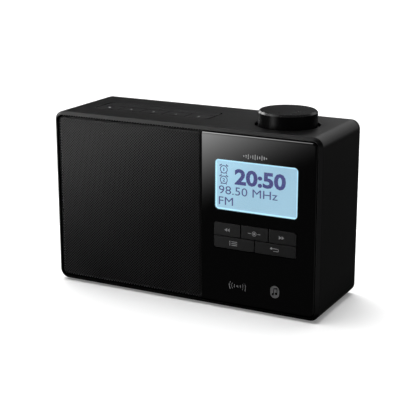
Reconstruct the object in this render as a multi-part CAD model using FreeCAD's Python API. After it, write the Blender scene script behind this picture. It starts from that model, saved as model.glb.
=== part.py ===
import FreeCAD, Part
import math
import os

# Tabletop digital radio, as the separate pieces that it comes apart into, in millimetres.
# X runs left to right across the front, Y from the front to the back, Z up.
# The origin is on the surface that the radio stands on, under the middle of the cabinet.

V = FreeCAD.Vector
ALONG = {"x": V(1, 0, 0), "y": V(0, 1, 0), "z": V(0, 0, 1)}

# ---- cabinet: the driving sizes
WIDTH = 250.0
HEIGHT = 152.0
DEPTH = 85.0
FOOT_H = 1.5
CORNER_R = 8.0
WALL = 3.0
RIM = 2.6                                # bevel round the front edge
COVER_INSET = 0.1
COVER_EDGE_R = 0.7
SEAM = 0.3                               # gap between housing and rear cover
HALF_W = WIDTH / 2
BOTTOM = FOOT_H
TOP = FOOT_H + HEIGHT
FRONT = -DEPTH / 2
BACK = DEPTH / 2
HOUSING_BACK = BACK - 3.5
INNER_X = HALF_W - WALL
INNER_BOTTOM = BOTTOM + WALL
INNER_TOP = TOP - WALL
INNER_R = CORNER_R - WALL

# ---- front: gloss panel on the right, speaker grille on the left
PANEL_LEFT = 20.0
PANEL_T = 2.2
PANEL_WALL = 2.0
PANEL_EDGE_R = 2.6
FRONT_FIT = 0.2
GRILLE_T = 0.8
GRILLE_SETBACK = 0.6
GRILLE_GAP = 0.4
GRILLE_CORNER_R = 4.4
GRILLE_EDGE_R = 2.5
FRAME_FRONT = FRONT + 5.0
FRAME_T = 2.5
TAB_T = 3.0                              # tabs of the housing that the front frame is screwed to
FRAME_BACK = FRAME_FRONT + FRAME_T
PANEL = (PANEL_LEFT, INNER_X - FRONT_FIT, INNER_BOTTOM + FRONT_FIT, INNER_TOP - FRONT_FIT)
GRILLE = (-INNER_X + FRONT_FIT + 0.2, PANEL_LEFT - GRILLE_GAP, INNER_BOTTOM + 0.6, INNER_TOP - 0.9)

# ---- display window: left, right, bottom, top
WINDOW = (32.0, 105.3, 85.8, 128.0)
WINDOW_R = 3.2
LENS_T = 1.1
LCD_MARGIN = 1.4
LCD_FRONT = FRONT + LENS_T + 0.1
HOLDER_WALL = 3.0
LCD_HOLDER = (WINDOW[0] - LCD_MARGIN - HOLDER_WALL, WINDOW[1] + LCD_MARGIN + HOLDER_WALL,
              WINDOW[2] - LCD_MARGIN - HOLDER_WALL, WINDOW[3] + LCD_MARGIN + HOLDER_WALL)

# ---- front keys
KEYS_BOX = (31.0, 105.5, 52.8, 75.0)
KEYS_SPLIT_Z = 63.4
KEYS_R = 2.6
KEY_GAP = 0.5
KEY_PROUD = 0.4
TOP_KEY_PROUD = 0.1
KEY_TRAVEL = 0.8

# ---- top keys: left, right, front, back
TRAY = (-101.8, 11.2, -14.4, 15.3)
TRAY_R = 4.0
TRAY_SPLIT_Y = 0.8
TRAY_END_GAP = 1.4
TRAY_SIDE_GAP = 0.4
PRESETS = 5

# ---- knob and its encoder
KNOB_X, KNOB_Y = 77.9, -1.5
KNOB_R = 24.6
KNOB_UP = 11.8
WELL_R = 27.0
WELL_DEPTH = 2.5
WELL_BEVEL = 0.5
SHAFT_R = 3.0
RUNNING = 0.05                           # radial clearance of what turns or slides

# ---- boards and keypads
MAT_T = 1.2
DOME_H = 1.3
DOME_R = 4.6
STEM_R = 3.0
STEM_GAP = KEY_TRAVEL + 0.1             # between a stem's contact and its board
BOARD_T = 1.6
TOP_BOARD_Z = 142.0
MAIN_BOARD_Z = 12.0
FRONT_BOARD_Y = FRAME_BACK + MAT_T

# ---- speaker, on an axis along Y
SPEAKER_X, SPEAKER_Z = -51.0, 77.5
SPEAKER_HOLE_R = 42.6
FLANGE_R = 48.0
GASKET_T = 1.0
BASKET_T = 1.2
AXIS = (SPEAKER_X, SPEAKER_Z)
FLANGE_Y = FRAME_BACK + GASKET_T
PLATE_Y = FLANGE_Y + 19.0

# ---- sockets on the back
DC_X, JACK_X, SOCKET_Z = 98.0, 74.0, 22.0
JACK_R, JACK_DEPTH = 1.8, 14.0

# ---- telescopic antenna, folded flat behind the back
ANT_X, ANT_Z = 100.0, 138.0
ANT_Y = BACK + 5.5
ANT_RADII = (3.2, 2.65, 2.1, 1.55)
ANT_WALL = 0.45
ANT_TUBE = 128.0
ANT_ROOT = ANT_X - 8.5
ANT_STEP = 2.2

REAR_SCREWS = [(-112, 14.5), (112, 14.5), (-112, 140.5), (112, 140.5), (0, 11.5), (0, 143.5)]
FRAME_SCREWS = [(-117, 38), (117, 38), (-117, 117), (117, 117), (8, 9.5), (8, 145.5)]
TOP_BOSSES = [(-96, -18.4), (-96, 19.2), (20, -18.4), (20, 19.2), (96, -18.4), (96, 19.2)]
MAIN_BOSSES = [(28, -18), (104, -18), (28, 30), (104.5, 16)]
PANEL_BOSSES = [(26, 46.8), (108, 46.8), (26, 135.2), (108, 135.2)]
FEET = [(-103, -29), (103, -29), (-103, 29), (103, 29)]


# ------------------------------------------------------------------ building blocks
def box(x0, x1, y0, y1, z0, z1):
    return Part.makeBox(x1 - x0, y1 - y0, z1 - z0, V(x0, y0, z0))


def rod(axis, centre, r, start, end):
    """A cylinder along an axis. centre holds the other two coordinates, in X, Y, Z order."""
    a, b = centre
    base = {"x": V(start, a, b), "y": V(a, start, b), "z": V(a, b, start)}[axis]
    return Part.makeCylinder(r, end - start, base, ALONG[axis])


def pipe(axis, centre, r_out, r_in, start, end):
    return rod(axis, centre, r_out, start, end).cut(rod(axis, centre, r_in, start - 1, end + 1))


def rounded_face(u0, u1, v0, v1, radii, place):
    """A rectangle whose corners have the radii (low-low, high-low, high-high, low-high)."""
    corners = [(u0, v0, 1, 1), (u1, v0, -1, 1), (u1, v1, -1, -1), (u0, v1, 1, -1)]
    edges, ends = [], []
    for (u, v, su, sv), r in zip(corners, radii):
        on_v, on_u = (u, v + sv * r), (u + su * r, v)
        first, last = (on_v, on_u) if su == sv else (on_u, on_v)
        mid = (u + su * r * (1 - math.sqrt(0.5)), v + sv * r * (1 - math.sqrt(0.5)))
        edges.append(Part.Arc(place(*first), place(*mid), place(*last)).toShape())
        ends.append((first, last))
    for i in range(4):
        edges.append(Part.makeLine(place(*ends[i][1]), place(*ends[(i + 1) % 4][0])))
    return Part.Face(Part.Wire(Part.__sortEdges__(edges)))


def four(r):
    return r if isinstance(r, tuple) else (r, r, r, r)


def slab_y(x0, x1, z0, z1, y0, y1, r):
    face = rounded_face(x0, x1, z0, z1, four(r), lambda u, v: V(u, y0, v))
    return face.extrude(V(0, y1 - y0, 0))


def slab_z(x0, x1, y0, y1, z0, z1, r):
    face = rounded_face(x0, x1, y0, y1, four(r), lambda u, v: V(u, v, z0))
    return face.extrude(V(0, 0, z1 - z0))


def middle_of(rect):
    u0, u1, v0, v1 = rect
    return ((u0 + u1) / 2, (v0 + v1) / 2)


def inset_outline(out):
    """The opening of the housing, grown by out on every side: left, right, bottom, top."""
    return -INNER_X - out, INNER_X + out, INNER_BOTTOM - out, INNER_TOP + out


def block_radii(at_left, at_right, low_row, r, small=0.4):
    """Corner radii of one key in a block of two rows: only the block's own corners are large."""
    return (r if at_left and low_row else small, r if at_right and low_row else small,
            r if at_right and not low_row else small, r if at_left and not low_row else small)


def edges_on(shape, axis, value):
    """The edges that lie wholly in a plane across the axis."""
    low, high = axis.upper() + "Min", axis.upper() + "Max"
    ends = [(e, getattr(e.BoundBox, low), getattr(e.BoundBox, high)) for e in shape.Edges]
    return [e for e, a, b in ends if abs(a - value) < 1e-3 and abs(b - value) < 1e-3]


def rounded(shape, axis, value, r):
    return shape.makeFillet(r, edges_on(shape, axis, value))


def bevelled(shape, axis, value, size):
    return shape.makeChamfer(size, edges_on(shape, axis, value))


def turned(profile, axis, centre):
    """Spins a closed (radius, along) profile about an axis through centre."""
    a, b = centre
    place = {
        "y": lambda r, t: V(a + r, t, b),
        "z": lambda r, t: V(a + r, b, t),
    }[axis]
    base = V(a, 0, b) if axis == "y" else V(a, b, 0)
    points = [place(r, t) for r, t in profile]
    face = Part.Face(Part.makePolygon(points + points[:1]))
    return face.revolve(base, ALONG[axis], 360)


def joined(shapes):
    first, rest = shapes[0], list(shapes[1:])
    return first.multiFuse(rest).removeSplitter() if rest else first


def without(shape, cutters):
    return shape.cut(list(cutters)) if cutters else shape


def cable(points, r, share=0.45):
    """A tube along straight runs joined by tangent arcs."""
    pts = [V(*p) for p in points]
    edges, at, radii = [], pts[0], []
    for i in range(1, len(pts) - 1):
        before, after = (pts[i] - pts[i - 1]), (pts[i + 1] - pts[i])
        turn = before.getAngle(after)
        back = share * min(before.Length, after.Length)
        radii.append(back / math.tan(turn / 2))
        u, w = V(before).normalize(), V(after).normalize()
        start, end = pts[i] - u * back, pts[i] + w * back
        bisector = (w - u).normalize()
        centre = pts[i] + bisector * (radii[-1] / math.cos(turn / 2))
        middle = centre - bisector * radii[-1]
        edges += [Part.LineSegment(at, start).toShape(), Part.Arc(start, middle, end).toShape()]
        at = end
    edges.append(Part.LineSegment(at, pts[-1]).toShape())
    path = Part.Wire(edges)
    section = Part.Wire(Part.makeCircle(r, pts[0], pts[1] - pts[0]))
    tube = path.makePipeShell([section], True, False)
    expected = math.pi * r * r * path.Length
    print("cable radii", [round(x, 1) for x in radii], "volume ratio", round(tube.Volume / expected, 4))
    return tube


def screw(axis, sign, place, head, shank):
    """A pan-head screw. Its head sits on place and its shank runs along sign times the axis."""
    (head_r, head_h), (shank_r, shank_l) = head, shank
    cap = rounded(rod("z", (0, 0), head_r, -head_h, 0), "z", -head_h, head_h * 0.4)
    slot, half, depth = head_r * 0.6, 0.25, head_h * 0.6
    cross = [box(-slot, slot, -half, half, -head_h - 1, depth - head_h),
             box(-half, half, -slot, slot, -head_h - 1, depth - head_h)]
    body = without(joined([cap, rod("z", (0, 0), shank_r, 0, shank_l)]), cross)
    turn = FreeCAD.Rotation(ALONG["z"], ALONG[axis] * sign)
    body.Placement = FreeCAD.Placement(V(*place), turn)
    return body


# ------------------------------------------------------------------ casing
def main_housing():
    body = slab_y(-HALF_W, HALF_W, BOTTOM, TOP, FRONT, HOUSING_BACK, CORNER_R)
    body = bevelled(body, "y", FRONT, RIM)
    body = rounded(body, "y", FRONT + RIM, 0.5)
    body = bevelled(body, "y", HOUSING_BACK, 0.4)
    body = body.cut(slab_y(-INNER_X, INNER_X, INNER_BOTTOM, INNER_TOP, FRONT - 1, BACK, INNER_R))
    adds, cuts = [], []
    rib_end = BACK - 9.0
    for x, z in REAR_SCREWS:
        adds.append(rod("y", (x, z), 4.0, 23.0, BACK - 5.6))
        cuts.append(rod("y", (x, z), 1.2, 26.0, BACK))
        if x:
            side = math.copysign(INNER_X + 1, x)
            adds.append(box(min(x, side), max(x, side), 23.0, rib_end, z - 1.2, z + 1.2))
        else:
            wall = INNER_BOTTOM - 1 if z < SPEAKER_Z else INNER_TOP + 1
            adds.append(box(-1.2, 1.2, 23.0, rib_end, min(z, wall), max(z, wall)))
    for x, z in FRAME_SCREWS:
        if abs(x) > 50:
            side = math.copysign(INNER_X + 1, x)
            inner = x - math.copysign(4.5, x)
            adds.append(box(min(inner, side), max(inner, side), FRAME_BACK, FRAME_BACK + 3, z - 5, z + 5))
        else:
            wall = INNER_BOTTOM - 1 if z < SPEAKER_Z else INNER_TOP + 1
            inner = z + (4.5 if z < SPEAKER_Z else -4.5)
            adds.append(box(x - 5, x + 5, FRAME_BACK, FRAME_BACK + 3, min(inner, wall), max(inner, wall)))
        cuts.append(rod("y", (x, z), 1.6, FRAME_BACK - 1, FRAME_BACK + 4))
    for x, y in TOP_BOSSES:
        adds.append(rod("z", (x, y), 2.6, TOP_BOARD_Z, INNER_TOP + 1))
        cuts.append(rod("z", (x, y), 1.2, TOP_BOARD_Z - 1, INNER_TOP))
    for x, y in MAIN_BOSSES:
        adds.append(rod("z", (x, y), 3.2, INNER_BOTTOM - 1, MAIN_BOARD_Z))
        cuts.append(rod("z", (x, y), 1.2, INNER_BOTTOM, MAIN_BOARD_Z + 1))
    adds.append(rod("z", (KNOB_X, KNOB_Y), 30.0, TOP - WELL_DEPTH - 2.5, INNER_TOP + 1))
    cuts.append(rod("z", (KNOB_X, KNOB_Y), WELL_R, TOP - WELL_DEPTH, TOP + 1))
    cuts.append(rod("z", (KNOB_X, KNOB_Y), 3.7, TOP - WELL_DEPTH - 4, TOP))
    left, right, front, back = TRAY
    cuts.append(slab_z(left, right, front, back, INNER_TOP - 1, TOP + 1, TRAY_R))
    for x, y in FEET:
        cuts.append(rod("z", (x, y), 6.7, BOTTOM - 1, BOTTOM + 0.5))
    body = without(joined([body] + adds), cuts)
    round_edges = [e for e in edges_on(body, "z", TOP) if type(e.Curve).__name__ == "Circle"]
    well_edges = [e for e in round_edges if abs(e.Curve.Radius - WELL_R) < 0.01]
    return body.makeChamfer(WELL_BEVEL, well_edges)


def rear_cover():
    rim_front = HOUSING_BACK + SEAM
    rim = slab_y(*inset_outline(WALL - COVER_INSET), rim_front, BACK, CORNER_R - COVER_INSET)
    rim = rounded(rim, "y", BACK, COVER_EDGE_R)
    spigot = slab_y(*inset_outline(-0.25), BACK - 8.5, rim_front + 0.2, INNER_R - 0.25)
    pocket = slab_y(*inset_outline(-2.2), BACK - 9, BACK - 2.5, 3.0)
    body = rim.fuse(spigot).removeSplitter().cut(pocket)
    adds = [rod("y", (x, z), 4.0, BACK - 5.5, BACK - 2) for x, z in REAR_SCREWS]
    adds.append(rod("y", (ANT_X, ANT_Z), 8.0, BACK - 4.0, BACK - 2))
    adds.append(box(-34, -20, BACK - 1, BACK + 7.0, ANT_Z - ANT_RADII[0] - 2.4, ANT_Z - ANT_RADII[0] - 0.4))
    posts = [rod("y", (x, z), 5.0, BACK - 9, BACK - 5.5) for x, z in REAR_SCREWS]
    cuts = [rod("y", (x, z), 1.6, BACK - 9, BACK + 1) for x, z in REAR_SCREWS]
    cuts += [rod("y", (x, z), 3.3, BACK - 1.2, BACK + 1) for x, z in REAR_SCREWS]
    cuts.append(rod("y", (ANT_X, ANT_Z), 3.0 + RUNNING, BACK - 9, BACK + 1))
    cuts.append(rod("y", (DC_X, SOCKET_Z), 5.0, BACK - 9, BACK + 1))
    cuts.append(rod("y", (JACK_X, SOCKET_Z), 3.4, BACK - 9, BACK + 1))
    cuts.append(slab_y(60, 107, 13, 31, BACK - 0.6, BACK + 1, 2.0))
    cuts.append(slab_y(-24, 46, 56, 96, BACK - 0.4, BACK + 1, 2.0))
    for column in range(12):
        x = -104 + 6 * column
        for z in (52.0, 86.0):
            cuts.append(slab_y(x - 1.1, x + 1.1, z, z + 26, BACK - 9, BACK + 1, 1.05))
    return without(joined([body] + adds), posts + cuts)


def rubber_feet():
    return [rounded(rod("z", at, 6.5, 0, BOTTOM + 0.5), "z", 0, 0.5) for at in FEET]


# ------------------------------------------------------------------ front
def pan(outline, front, corner_r, edge_r, skin, wall, square_side):
    """A shallow tray, open at the back. Its front edges are rolled over, except on its square side."""
    x0, x1, z0, z1 = outline
    spare = 3 * corner_r
    long_x0, long_x1 = (x0 - spare, x1) if square_side == "left" else (x0, x1 + spare)
    outer = slab_y(long_x0, long_x1, z0, z1, front, FRAME_FRONT - 0.1, four(corner_r))
    outer = rounded(outer, "y", front, edge_r).common(box(x0, x1, front - 1, 0, z0 - 1, z1 + 1))
    inner_r = four(max(corner_r - wall, 0.3))
    return outer.cut(slab_y(x0 + wall, x1 - wall, z0 + wall, z1 - wall, front + skin, 0, inner_r))


def keys_rects():
    """The five front keys as (left, right, bottom, top), without their gaps."""
    left, right, bottom, top = KEYS_BOX
    third, half = (right - left) / 3, (right - left) / 2
    upper = [(left + i * third, left + (i + 1) * third, KEYS_SPLIT_Z, top) for i in range(3)]
    lower = [(left + i * half, left + (i + 1) * half, bottom, KEYS_SPLIT_Z) for i in range(2)]
    return dict(zip(("rewind_key", "enter_key", "forward_key", "menu_key", "back_key"), upper + lower))


def front_panel():
    body = pan(PANEL, FRONT, INNER_R - FRONT_FIT, PANEL_EDGE_R, PANEL_T, PANEL_WALL, "left")
    x0, x1, z0, z1 = WINDOW
    window = slab_y(x0, x1, z0, z1, FRONT - 1, 0, WINDOW_R)
    m = LCD_MARGIN
    rebate = slab_y(x0 - m - 0.2, x1 + m + 0.2, z0 - m - 0.2, z1 + m + 0.2, FRONT + LENS_T + 0.1, 0, 0.5)
    k0, k1, l0, l1 = KEYS_BOX
    keys = slab_y(k0 - 0.25, k1 + 0.25, l0 - 0.25, l1 + 0.25, FRONT - 1, 0, KEYS_R)
    return without(body, [window, rebate, keys])


def speaker_grille():
    return pan(GRILLE, FRONT + GRILLE_SETBACK, GRILLE_CORNER_R, GRILLE_EDGE_R, GRILLE_T, GRILLE_T, "right")


def grille_cloth():
    x0, x1, z0, z1 = GRILLE
    y = FRONT + GRILLE_SETBACK + GRILLE_T
    return slab_y(x0 + 2.6, x1 - 2.6, z0 + 2.6, z1 - 2.6, y, y + 0.4, 2.0)


def front_frame():
    plate = slab_y(*inset_outline(-0.3), FRAME_FRONT, FRAME_BACK, INNER_R - 0.3)
    x0, x1, z0, z1 = LCD_HOLDER
    cuts = [rod("y", (SPEAKER_X, SPEAKER_Z), SPEAKER_HOLE_R, FRAME_FRONT - 1, FRAME_BACK + 1),
            box(x0 - 0.3, x1 + 0.3, FRAME_FRONT - 1, FRAME_BACK + 1, z0 - 0.3, z1 + 0.3)]
    for rect in keys_rects().values():
        cuts.append(rod("y", middle_of(rect), DOME_R + 0.6, FRAME_FRONT - 1, FRAME_BACK + 1))
    threads = FRAME_SCREWS + speaker_screw_places() + PANEL_BOSSES
    cuts += [rod("y", at, 1.2, FRAME_BACK - 2.2, FRAME_BACK + 2) for at in threads]
    posts = [rod("y", at, 2.4, FRAME_BACK - 1, FRONT_BOARD_Y) for at in PANEL_BOSSES]
    return without(joined([plate] + posts), cuts)


def display_lens():
    x0, x1, z0, z1 = WINDOW
    g = 0.1
    lens = slab_y(x0 + g, x1 - g, z0 + g, z1 - g, FRONT, FRONT + LENS_T, WINDOW_R - g)
    return rounded(lens, "y", FRONT, 0.25)


def lcd_block(y0, y1):
    x0, x1, z0, z1 = WINDOW
    m = LCD_MARGIN
    return box(x0 - m, x1 + m, y0, y1, z0 - m, z1 + m)


def lcd_cell():
    return lcd_block(LCD_FRONT, LCD_FRONT + 1.4)


def lcd_backlight():
    return lcd_block(LCD_FRONT + 1.4, LCD_FRONT + 4.4)


def lcd_holder():
    x0, x1, z0, z1 = LCD_HOLDER
    frame = box(x0, x1, FRONT + PANEL_T + 0.1, FRAME_BACK + 0.5, z0, z1)
    pocket = lcd_block(FRONT, LCD_FRONT + 4.4)
    window = box(WINDOW[0] + 6, WINDOW[1] - 6, FRONT, 0, WINDOW[2] + 6, WINDOW[3] - 6)
    return without(frame, [pocket, window])


def front_key(name):
    left, right, low, high = keys_rects()[name]
    g = KEY_GAP / 2
    upper = low == KEYS_SPLIT_Z
    radii = block_radii(left == KEYS_BOX[0], right == KEYS_BOX[1], not upper, KEYS_R - g)
    inner = FRONT + PANEL_T + 0.1
    cap = slab_y(left + g, right - g, low + g, high - g, FRONT - KEY_PROUD, inner, radii)
    cap = rounded(cap, "y", FRONT - KEY_PROUD, 0.3)
    lip_low, lip_high = (low + g, high + 1.0) if upper else (low - 1.0, high - g)
    lip = box(left + g, right - g, inner, inner + 1.0, lip_low, lip_high)
    stem = rod("y", middle_of(keys_rects()[name]), STEM_R, inner + 1.0, FRONT_BOARD_Y - STEM_GAP)
    return joined([cap, lip, stem])


def keypad(axis, sheet, places, face, sign):
    """A rubber sheet with a collar round each key's stem. sign says which way the collars stand."""
    low, high = sorted((face - sign * MAT_T, face + sign * DOME_H))
    collars = [rod(axis, at, DOME_R, low, high) for at in places]
    holes = [rod(axis, at, STEM_R + 0.4, low - 1, high + 1) for at in places]
    return without(joined([sheet] + collars), holes)


def front_keypad_mat():
    x0, x1, z0, z1 = KEYS_BOX
    sheet = slab_y(x0 - 3, x1 + 3, z0 - 3, z1 + 2, FRAME_BACK, FRAME_BACK + MAT_T, 2.0)
    places = [middle_of(rect) for rect in keys_rects().values()]
    return keypad("y", sheet, places, FRAME_BACK, -1)


def front_board():
    board = box(22, 111.5, FRONT_BOARD_Y, FRONT_BOARD_Y + BOARD_T, 44, 138)
    return without(board, [rod("y", at, 1.4, FRONT_BOARD_Y - 1, FRONT_BOARD_Y + 3) for at in PANEL_BOSSES])


def front_board_parts():
    """Two chips, the cable's connector and the display's pin strip: one solid each."""
    back = FRONT_BOARD_Y + BOARD_T
    chips = [box(44, 56, back, back + 1.4, 96, 108), box(66, 72, back, back + 1.2, 98, 106)]
    plug = box(84, 98, back, back + 2.0, 58, 63)
    pins = box(42, 95, LCD_FRONT + 4.4, FRONT_BOARD_Y, 93, 95.5)
    return chips + [plug, pins]


# ------------------------------------------------------------------ top keys and knob
def top_rects():
    left, right, front, back = TRAY
    left, right = left + TRAY_END_GAP, right - TRAY_END_GAP
    front, back = front + TRAY_SIDE_GAP, back - TRAY_SIDE_GAP
    pitch, half = (right - left) / PRESETS, (right - left) / 2
    rects = {"preset_key_%d" % (i + 1): (left + i * pitch, left + (i + 1) * pitch, front, TRAY_SPLIT_Y)
             for i in range(PRESETS)}
    rects["power_key"] = (left, left + half, TRAY_SPLIT_Y, back)
    rects["snooze_key"] = (left + half, right, TRAY_SPLIT_Y, back)
    return rects


def top_key(name):
    rects = top_rects()
    left, right, front, back = rects[name]
    at_left = left - min(r[0] for r in rects.values()) < 0.01
    at_right = max(r[1] for r in rects.values()) - right < 0.01
    is_front, g = back == TRAY_SPLIT_Y, KEY_GAP / 2
    x0 = left if at_left else left + g
    x1 = right if at_right else right - g
    y0, y1 = (front, back - g) if is_front else (front + g, back)
    radii = block_radii(at_left, at_right, is_front, TRAY_R)
    under = INNER_TOP - 0.2
    cap = slab_z(x0, x1, y0, y1, under, TOP + TOP_KEY_PROUD, radii)
    cap = rounded(cap, "z", TOP + TOP_KEY_PROUD, 0.35)
    lip_front, lip_back = (y0 - 1.2, y1) if is_front else (y0, y1 + 1.2)
    lip = box(x0, x1, lip_front, lip_back, under - 1.0, under)
    stem = rod("z", middle_of(rects[name]), STEM_R, TOP_BOARD_Z + STEM_GAP, under - 1.0)
    return joined([cap, lip, stem])


def top_keypad_mat():
    left, right, front, back = TRAY
    sheet = slab_z(left + 1, right - 1, front + 1, back - 1, TOP_BOARD_Z, TOP_BOARD_Z + MAT_T, 2.0)
    places = [middle_of(rect) for rect in top_rects().values()]
    return keypad("z", sheet, places, TOP_BOARD_Z + MAT_T, 1)


def top_board():
    board = box(-102, 110, -22, 22.5, TOP_BOARD_Z - BOARD_T, TOP_BOARD_Z)
    holes = [rod("z", at, 1.4, TOP_BOARD_Z - 3, TOP_BOARD_Z + 1) for at in TOP_BOSSES]
    return without(board, holes)


def volume_knob():
    low, high = TOP - WELL_DEPTH + 0.6, TOP + KNOB_UP
    at = (KNOB_X, KNOB_Y)
    body = rod("z", at, KNOB_R, low, high)
    body = bevelled(body, "z", high, 1.5)
    body = rounded(body, "z", high, 0.4)
    hollow = rod("z", at, KNOB_R - 2.2, low - 1, high - 2.6)
    boss = rod("z", at, 5.5, TOP + 1.0, high - 2.0)
    reach = KNOB_R - 1.5
    ribs = [box(KNOB_X - a, KNOB_X + a, KNOB_Y - b, KNOB_Y + b, TOP + 3.5, high - 2.0)
            for a, b in ((reach, 0.8), (0.8, reach))]
    body = joined([body.cut(hollow), boss] + ribs)
    dot = Part.makeSphere(1.3, V(KNOB_X - 1.0, KNOB_Y - 15.8, high + 0.9))
    return without(body, [d_shaft(TOP + 1.0, high - 3.2), dot])


def d_shaft(z0, z1):
    shaft = rod("z", (KNOB_X, KNOB_Y), SHAFT_R, z0, z1)
    return shaft.cut(box(KNOB_X + 1.5, KNOB_X + 5, KNOB_Y - 5, KNOB_Y + 5, TOP + 1.0, z1 + 1))


def encoder_shaft():
    collar = rod("z", (KNOB_X, KNOB_Y), 4.2, TOP_BOARD_Z + 2.0, TOP_BOARD_Z + 3.5)
    return joined([d_shaft(TOP_BOARD_Z + 2.0, TOP + KNOB_UP - 3.2), collar])


def encoder_body():
    roof = TOP - WELL_DEPTH - 2.6
    case = box(KNOB_X - 6, KNOB_X + 6, KNOB_Y - 6, KNOB_Y + 6, TOP_BOARD_Z, roof)
    bush = rod("z", (KNOB_X, KNOB_Y), 3.45, roof, TOP - 0.6)
    bore = rod("z", (KNOB_X, KNOB_Y), SHAFT_R + RUNNING, TOP_BOARD_Z + 1.2, TOP + 1)
    chamber = rod("z", (KNOB_X, KNOB_Y), 4.5, TOP_BOARD_Z + 1.2, TOP_BOARD_Z + 4.0)
    return without(joined([case, bush]), [bore, chamber])


def encoder_nut():
    z0 = TOP - WELL_DEPTH
    turns = [math.radians(60 * i) for i in range(6)]
    corners = [V(KNOB_X + 5.6 * math.cos(a), KNOB_Y + 5.6 * math.sin(a), z0) for a in turns]
    nut = Part.Face(Part.makePolygon(corners + corners[:1])).extrude(V(0, 0, 1.8))
    return nut.cut(rod("z", (KNOB_X, KNOB_Y), 3.45, z0 - 1, z0 + 3))


# ------------------------------------------------------------------ speaker
def speaker_screw_places():
    r = 45.2
    return [(SPEAKER_X + r * math.cos(math.radians(a)), SPEAKER_Z + r * math.sin(math.radians(a)))
            for a in (45, 135, 225, 315)]


def speaker_gasket():
    ring = pipe("y", AXIS, FLANGE_R - 0.5, SPEAKER_HOLE_R, FRAME_BACK, FLANGE_Y)
    return without(ring, [rod("y", at, 1.7, FRAME_BACK - 1, FLANGE_Y + 1) for at in speaker_screw_places()])


def speaker_basket():
    t = BASKET_T
    profile = [(40.4, FLANGE_Y), (FLANGE_R, FLANGE_Y), (FLANGE_R, FLANGE_Y + t), (41.6, FLANGE_Y + t),
               (40.6, FLANGE_Y + 7), (27.0, PLATE_Y), (12.0, PLATE_Y), (12.0, PLATE_Y - t),
               (26.3, PLATE_Y - t), (39.4, FLANGE_Y + 6.5)]
    ledge = pipe("y", AXIS, 30.4, 25.0, PLATE_Y - 4.4, PLATE_Y - t)
    x, z = SPEAKER_X + 22, SPEAKER_Z - 24
    tags = box(x - 5, x + 6, PLATE_Y - t, PLATE_Y, z - 5, z + 5)
    body = joined([turned(profile, "y", AXIS), ledge, tags])
    windows = []
    for a in (0, 90, 180, 270):
        wedge = slab_y(-10, 10, 22, 44, FLANGE_Y + 7.5, PLATE_Y - 5.5, 3.0)
        wedge.rotate(V(0, 0, 0), ALONG["y"], a)
        wedge.translate(V(SPEAKER_X, 0, SPEAKER_Z))
        windows.append(wedge)
    holes = [rod("y", at, 1.7, FLANGE_Y - 1, FLANGE_Y + 2) for at in speaker_screw_places()]
    return without(body, windows + holes)


def speaker_top_plate():
    return pipe("y", AXIS, 25.0, 11.6, PLATE_Y, PLATE_Y + 4)


def speaker_magnet():
    ring = pipe("y", AXIS, 29.0, 15.0, PLATE_Y + 4, PLATE_Y + 15)
    return ring.makeFillet(0.8, [e for e in ring.Edges if abs(e.Length - 2 * math.pi * 29.0) < 0.1])


def speaker_yoke():
    profile = [(0, PLATE_Y), (9.6, PLATE_Y), (9.6, PLATE_Y + 15), (25.0, PLATE_Y + 15), (25.0, PLATE_Y + 19),
               (0, PLATE_Y + 19)]
    return turned(profile, "y", AXIS)


def voice_coil():
    return pipe("y", AXIS, 11.0, 10.2, PLATE_Y - 8, PLATE_Y + 6)


def speaker_cone():
    t = 0.6
    front, back = FLANGE_Y, PLATE_Y - 6
    profile = [(35.0, front), (36.2, front), (36.2, front + t), (34.8, front + t), (11.8, back), (11.0, back),
               (11.0, back - t)]
    return turned(profile, "y", AXIS)


def dust_cap():
    base, rise, r, t = FLANGE_Y + 11.1, 4.0, 13.5, 0.5
    outer_r = (r * r + rise * rise) / (2 * rise)
    ball = Part.makeSphere(outer_r, V(SPEAKER_X, base - rise + outer_r, SPEAKER_Z))
    core = Part.makeSphere(outer_r - t, V(SPEAKER_X, base - rise + outer_r, SPEAKER_Z))
    return ball.cut(core).common(rod("y", AXIS, r + 1, base - rise - 1, base))


def speaker_surround():
    """A half roll of rubber between the cone's edge and the flange, with a flat lip on each side."""
    inner, outer, t = 36.4, 40.0, 0.5
    centre, middle, radius = V(SPEAKER_X, FLANGE_Y, SPEAKER_Z), (inner + outer) / 2, (outer - inner) / 2
    roll = Part.makeTorus(middle, radius, centre, ALONG["y"])
    roll = roll.cut(Part.makeTorus(middle, radius - t, centre, ALONG["y"]))
    roll = roll.common(pipe("y", AXIS, outer + 2, inner - 2, FLANGE_Y - 4, FLANGE_Y))
    lips = [pipe("y", AXIS, inner + t, 35.2, FLANGE_Y - t, FLANGE_Y),
            pipe("y", AXIS, 42.3, outer - t, FLANGE_Y - t, FLANGE_Y)]
    return joined([roll] + lips)


def speaker_spider():
    """A corrugated disc that centres the voice coil, with a flat lip on the basket's ledge."""
    y, t, waves, inner, outer = PLATE_Y - 4.0, 0.5, 3, 11.0, 23.5
    step = (outer - inner) / (2 * waves)
    tops = [(inner + i * step, y + (0.9 if i % 2 else -0.9)) for i in range(2 * waves + 1)]
    tops.append((28.5, tops[-1][1]))
    return turned(tops + [(r, z + t) for r, z in reversed(tops)], "y", AXIS)


def speaker_screws():
    places = [(x, FLANGE_Y + BASKET_T, z) for x, z in speaker_screw_places()]
    return [screw("y", -1, at, (2.6, 1.6), (1.15, 4.3)) for at in places]


# ------------------------------------------------------------------ boards, sockets, cables
def main_board():
    board = box(22, 107, -24, 36, MAIN_BOARD_Z, MAIN_BOARD_Z + BOARD_T)
    return without(board, [rod("z", at, 1.4, MAIN_BOARD_Z - 1, MAIN_BOARD_Z + 3) for at in MAIN_BOSSES])


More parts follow.
